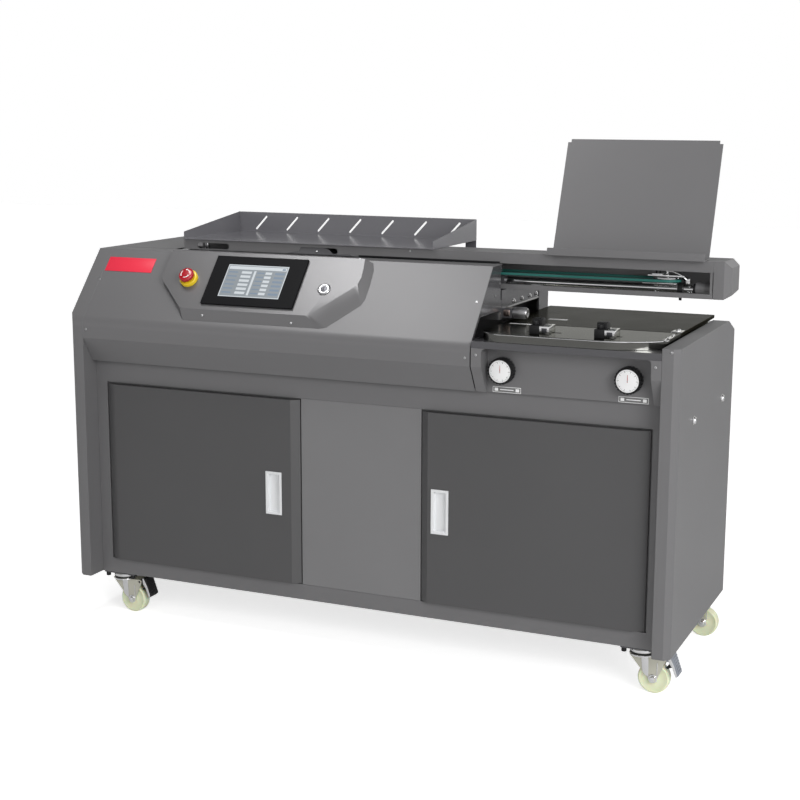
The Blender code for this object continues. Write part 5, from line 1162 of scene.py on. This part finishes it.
class BINDER_OT_stations(bpy.types.Operator):
    """Builds the rollers, the glue, the cutter and the motor under the hood"""
    bl_idname = "binder.stations"
    bl_label = "Stations"

    def execute(self, context):
        finishes(context.scene.binder)
        for side in ("left", "right"):
            low, high, middle = node_box(f"{side}_glue_roller")
            length = high.y - low.y
            end = length - DRUM_INSET
            face = DRUM_RADIUS - 1
            shape = Shape()
            shape.lathe("steel", ((0, 0), (DRUM_SHAFT, 0), (DRUM_SHAFT, DRUM_INSET), (face, DRUM_INSET),
                                  (DRUM_RADIUS, DRUM_INSET + 1), (DRUM_RADIUS, end - 1), (face, end),
                                  (DRUM_SHAFT, end), (DRUM_SHAFT, length), (0, length)),
                        facing(middle.x, high.y, middle.z, FRONT))
            roller = shape.finish(f"{side}_roller_drum", f"{side}_roller")
            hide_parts(f"{side}_glue_roller")
        low, high, _ = node_box("glue_tank")
        shape = Shape()
        shape.box("glue", (low.x + TANK_SHEET, low.y + TANK_SHEET, low.z + 3.4),
                  (high.x - TANK_SHEET, high.y - TANK_SHEET, low.z + GLUE_TOP))
        shape.finish("glue_bath", "cabinet", 1)
        low, _, middle = node_box("milling_cutter")
        place = facing(middle.x, middle.y, low.z, UP)
        shape = Shape()
        shape.lathe("steel", CUTTER, place)
        shape.ring("chrome", place, 8, 24, 75, (9.8, 6, 15), 0.16)
        cutter = shape.finish("cutter_disc", "cutter", 0.3)
        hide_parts("milling_cutter")
        low, high, middle = node_box("milling_motor")
        place = facing(middle.x, middle.y, low.z, UP)
        top = high.z - low.z
        body = top - MOTOR_NOSE
        neck = top - 16
        shape = Shape()
        shape.lathe("dark_steel", ((0, 0), (MOTOR_FLANGE, 0), (MOTOR_FLANGE, 8), (MOTOR_RADIUS, 10),
                                   (MOTOR_RADIUS, body - 10), (MOTOR_FLANGE, body - 8),
                                   (MOTOR_FLANGE, body), (20, body), (20, neck), (10, neck), (10, top),
                                   (0, top)), place)
        shape.ring("dark_steel", place, body / 2, 36, 42.5, (4.6, 2.2, body - 20))
        motor = shape.finish("cutter_motor", "cabinet", 0.3)
        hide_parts("milling_motor")
        return {"FINISHED"}


# Casters. Outlines are (distance from the swivel axis, depth under the cabinet)

CORNERS = ("front_left", "front_right", "rear_left", "rear_right")
PLATE_BOLT_X = 38.5
PLATE_BOLT_Y = 23.5
PLATE_BOLT = ((0, 0), (6.2, 0), (6.2, 8.8), (5.4, 10), (0, 10))
AXLE_CAP = ((0, -0.4), (10.6, -0.4), (10.6, 1), (9.8, 1.6), (7.4, 1.6), (7.2, 4.4), (6.2, 6.2), (3.8, 7.2),
            (0, 7.5))
RACES = (("chrome", ((28.4, 1), (29.6, 1.2), (30, 2.2), (30, 7.4), (29.2, 8.6), (28.4, 8.8))),
         ("black", ((28.4, 9), (29.1, 9.2), (29.1, 13.2), (28.4, 13.4))),
         ("chrome", ((28.4, 13.6), (30.2, 13.8), (30.6, 14.6), (30.6, 17.2), (30, 17.8), (28.4, 18))))
FORK_RIBS = (((1.5, 22.2), (19, 22.2), (20.5, 69), (12.5, 65.8), (6, 58.8)),
             ((39, 34), (41.2, 31), (41.2, 67), (39, 68)))
LEG_FACES = ((-19.6, -17.9), (17.9, 19.6))
PAD_START = (77.4, 0, -17.8)
PAD_LEAN = math.atan2(44, 15.5)
BRAKE_SHOE = ((0, -13), (3.2, -13), (3.2, 13), (0, 13))
BRAKE_SHOE_PLACE = (64, 0, -42.5)
BRAKE_ARM = ((64, 39.8), (73, 35.2), (76.5, 40), (64, 45.2))
CHEEK = ((64.2, 12.4), (67.8, 12.6), (79.2, 34.5), (87.2, 58.2), (84.2, 63.2), (80, 54.5), (74.2, 39),
         (66.2, 28.5))


def off_axis(outline, x):
    return [(x + across, depth) for across, depth in outline]


class BINDER_OT_casters(bpy.types.Operator):
    """Builds the wheels, the swivel races, the forks' ribs, the plate bolts and the pedals"""
    bl_idname = "binder.casters"
    bl_label = "Casters"

    def execute(self, context):
        finishes(context.scene.binder)
        bolts = Shape()
        for corner in CORNERS:
            front = corner.startswith("front")
            body = f"{corner}_swivel" if front else "cabinet"
            hub = self.wheel(corner, body)
            axis = Vector((hub.x - TRAIL, hub.y, 0.0))
            self.fork(corner, axis, body)
            for x in (-PLATE_BOLT_X, PLATE_BOLT_X):
                for y in (-PLATE_BOLT_Y, PLATE_BOLT_Y):
                    bolts.lathe("black", PLATE_BOLT, facing(axis.x + x, axis.y + y, -3.3, DOWN), 24)
            if front:
                self.pedal(corner, axis)
        bolts.finish("caster_bolts", "cabinet", 0.3)
        return {"FINISHED"}

    def wheel(self, corner, body):
        """A nylon wheel with a dished side, and a washer and a domed cap on each end of its axle."""
        low, high, middle = node_box(f"{corner}_wheel")
        radius = (high.z - low.z) / 2
        half = (high.y - low.y) / 2
        dish = half - 2.2
        side = [(4.4, half - 0.6), (10.5, half - 0.6), (11.8, half - 1.2), (15, dish), (radius - 8, dish),
                (radius - 5.2, half - 0.4), (radius - 4, half), (radius - 1.8, half - 1.4),
                (radius - 0.4, half - 4), (radius, half - 8)]
        profile = [(r, -h) for r, h in side] + [(r, h) for r, h in reversed(side)]
        shape = Shape()
        shape.lathe("nylon", profile, facing(*middle, FRONT))
        wheel = shape.finish(f"{corner}_tread", f"{corner}_wheel")
        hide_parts(f"{corner}_wheel")
        caps = Shape()
        for way in (-1.0, 1.0):
            face = facing(middle.x, middle.y + way * (half + 4), middle.z, (0.0, way, 0.0))
            caps.lathe("chrome", AXLE_CAP, face, 48)
        caps.finish(f"{corner}_axle_caps", body)
        return middle

    def fork(self, corner, axis, body):
        """The bright races over the fork's crown, and two pressed ribs down each of its legs, in chrome
        lighter than the fork's zinc: partly the ribs' own metal, partly painted highlight.
        """
        place = facing(axis.x, axis.y, -3.6, DOWN)
        shape = Shape()
        for key, profile in RACES:
            shape.lathe(key, profile, place)
        # The ribs' chrome is lighter than the fork's zinc, as painted highlight along the pressed ribs.
        for outline in FORK_RIBS:
            for low, high in LEG_FACES:
                shape.prism("chrome", off_axis(outline, axis.x), low, high, upright(axis.y))
        shape.finish(f"{corner}_fork_ribs", body, 0.6)

    def pedal(self, corner, axis):
        """Ribs down the pedal's pad, a bright cheek along each inner edge and the brake's black shoe."""
        base = Vector((axis.x, axis.y, 0.0))
        place = Matrix.Translation(at(*(base + Vector(PAD_START)))) @ Matrix.Rotation(PAD_LEAN, 4, "Y")
        key = "black" if corner == "front_left" else "pedal"
        shape = Shape()
        shape.row(key, place, 6, (6.8, 0, 0), (2.6, 29, 2.2))
        shape.lathe("black", BRAKE_SHOE, facing(*(base + Vector(BRAKE_SHOE_PLACE)), FRONT), 32)
        shape.prism("black", off_axis(BRAKE_ARM, axis.x), -12.8, 12.8, upright(axis.y))
        shape.finish(f"{corner}_pedal_ribs", f"{corner}_pedal", 0.3)
        shape = Shape()
        for low in (-18.4, 17.3):
            shape.prism("chrome", off_axis(CHEEK, axis.x), low, low + 1.1, upright(axis.y))
        shape.finish(f"{corner}_pedal_cheeks", f"{corner}_pedal", 0.3)


# Stage

def floor_coat(size):
    """A white floor that fades into the backdrop for the camera."""
    material = paint("floor_coat", size.floor_colour, 0.6, grain=4, spread=0.01)
    nodes = Nodes(material.node_tree)
    seen = nodes.add("ShaderNodeLightPath").outputs["Is Camera Ray"]
    nodes.feed(material.node_tree.nodes["Principled BSDF"], {
        "Emission Strength": nodes.calc("MULTIPLY", seen, size.floor_glow),
        "Emission Color": (1.0, 1.0, 1.0, 1.0)})
    return material


def surround(size):
    """A white backdrop, and a soft light from the horizon and from high on the right."""
    world = bpy.data.worlds.new("surround")
    world.use_nodes = True
    nodes = Nodes(world.node_tree)
    generated = nodes.add("ShaderNodeTexCoord").outputs["Generated"]
    way = nodes.add("ShaderNodeSeparateXYZ", {"Vector": generated}).outputs
    high = nodes.span(way["Z"], 0.15, 0.35, 0.0, 1.0)
    top = nodes.span(way["Z"], 0.60, 0.80, 0.0, 1.0)
    side = nodes.span(way["X"], -0.30, 0.30, 0.0, size.side_sky)
    sky = nodes.calc("MULTIPLY", nodes.calc("SUBTRACT", high, top), side)
    horizon = nodes.span(high, 0.0, 1.0, size.horizon, 0.0)
    above = nodes.calc("ADD", horizon, nodes.span(top, 0.0, 1.0, 0.0, 0.1))
    seen = nodes.add("ShaderNodeLightPath").outputs["Is Camera Ray"]
    nodes.feed(world.node_tree.nodes["Background"], {
        "Color": (1.0, 1.0, 1.0, 1.0),
        "Strength": nodes.calc("MAXIMUM", nodes.calc("ADD", sky, above), seen)})
    return world


class BINDER_OT_stage(bpy.types.Operator):
    """Sets the floor, the soft light and the camera"""
    bl_idname = "binder.stage"
    bl_label = "Stage"

    def execute(self, context):
        size = context.scene.binder
        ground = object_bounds()[0].z
        mesh = bpy.data.meshes.new("floor")
        corners = ((-1, -1), (1, -1), (1, 1), (-1, 1))
        mesh.from_pydata([(x * FLOOR_REACH, y * FLOOR_REACH, ground) for x, y in corners], [],
                         [(0, 1, 2, 3)])
        floor = bpy.data.objects.new("floor", mesh)
        context.scene.collection.objects.link(floor)
        mesh.materials.append(floor_coat(size))
        floor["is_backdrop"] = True
        context.scene.world = surround(size)
        self.lamp("key_light", *KEY_LIGHT, size.key_power)
        self.lamp("softbox", *SOFTBOX, size.softbox_power)
        data = bpy.data.cameras.new("camera")
        data.sensor_width = 36.0
        data.lens = CAMERA_LENS
        data.clip_end = CAMERA_REACH
        camera = bpy.data.objects.new("camera", data)
        turn = Matrix.Rotation(CAMERA_TURN, 4, "Z") @ Matrix.Rotation(CAMERA_TILT, 4, "X")
        camera.matrix_world = (Matrix.Translation(at(*CAMERA_PLACE)) @ turn
                               @ Matrix.Rotation(CAMERA_ROLL, 4, "Z"))
        context.scene.collection.objects.link(camera)
        context.scene.camera = camera
        context.scene.view_settings.view_transform = "Standard"
        return {"FINISHED"}

    def lamp(self, name, place, aim, size, power):
        """A rectangular soft light that looks at a place on the machine."""
        data = bpy.data.lights.new(name, "AREA")
        data.shape = "RECTANGLE"
        data.size = size[0] * MM
        data.size_y = size[1] * MM
        data.energy = power
        light = bpy.data.objects.new(name, data)
        light.location = at(*place)
        light.rotation_euler = (at(*aim) - light.location).to_track_quat("-Z", "Y").to_euler()
        bpy.context.scene.collection.objects.link(light)


STEPS = (BINDER_OT_coat, BINDER_OT_screws, BINDER_OT_dials, BINDER_OT_pod, BINDER_OT_table,
         BINDER_OT_beam, BINDER_OT_carriage, BINDER_OT_stations, BINDER_OT_casters, BINDER_OT_stage)


class BINDER_PT_panel(bpy.types.Panel):
    """The steps and the sizes, in the sidebar"""
    bl_label = "Binding machine"
    bl_idname = "BINDER_PT_panel"
    bl_space_type = "VIEW_3D"
    bl_region_type = "UI"
    bl_category = "Binder"

    def draw(self, context):
        column = self.layout.column()
        for step in STEPS:
            column.operator(step.bl_idname)
        for name in BINDER_PG_settings.__annotations__:
            column.prop(context.scene.binder, name)


def register():
    bpy.utils.register_class(BINDER_PG_settings)
    bpy.types.Scene.binder = bpy.props.PointerProperty(type=BINDER_PG_settings)
    for step in STEPS:
        bpy.utils.register_class(step)
    bpy.utils.register_class(BINDER_PT_panel)


def unregister():
    bpy.utils.unregister_class(BINDER_PT_panel)
    for step in reversed(STEPS):
        bpy.utils.unregister_class(step)
    del bpy.types.Scene.binder
    bpy.utils.unregister_class(BINDER_PG_settings)


def corners():
    return [list(corner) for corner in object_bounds()]


def main():
    register()
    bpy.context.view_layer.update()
    bpy.ops.binder.coat()
    bpy.ops.binder.screws()
    bpy.ops.binder.dials()
    bpy.ops.binder.pod()
    bpy.ops.binder.table()
    bpy.ops.binder.beam()
    bpy.ops.binder.carriage()
    bpy.ops.binder.stations()
    bpy.ops.binder.casters()
    bpy.ops.binder.stage()


if __name__ == "__main__":
    main()
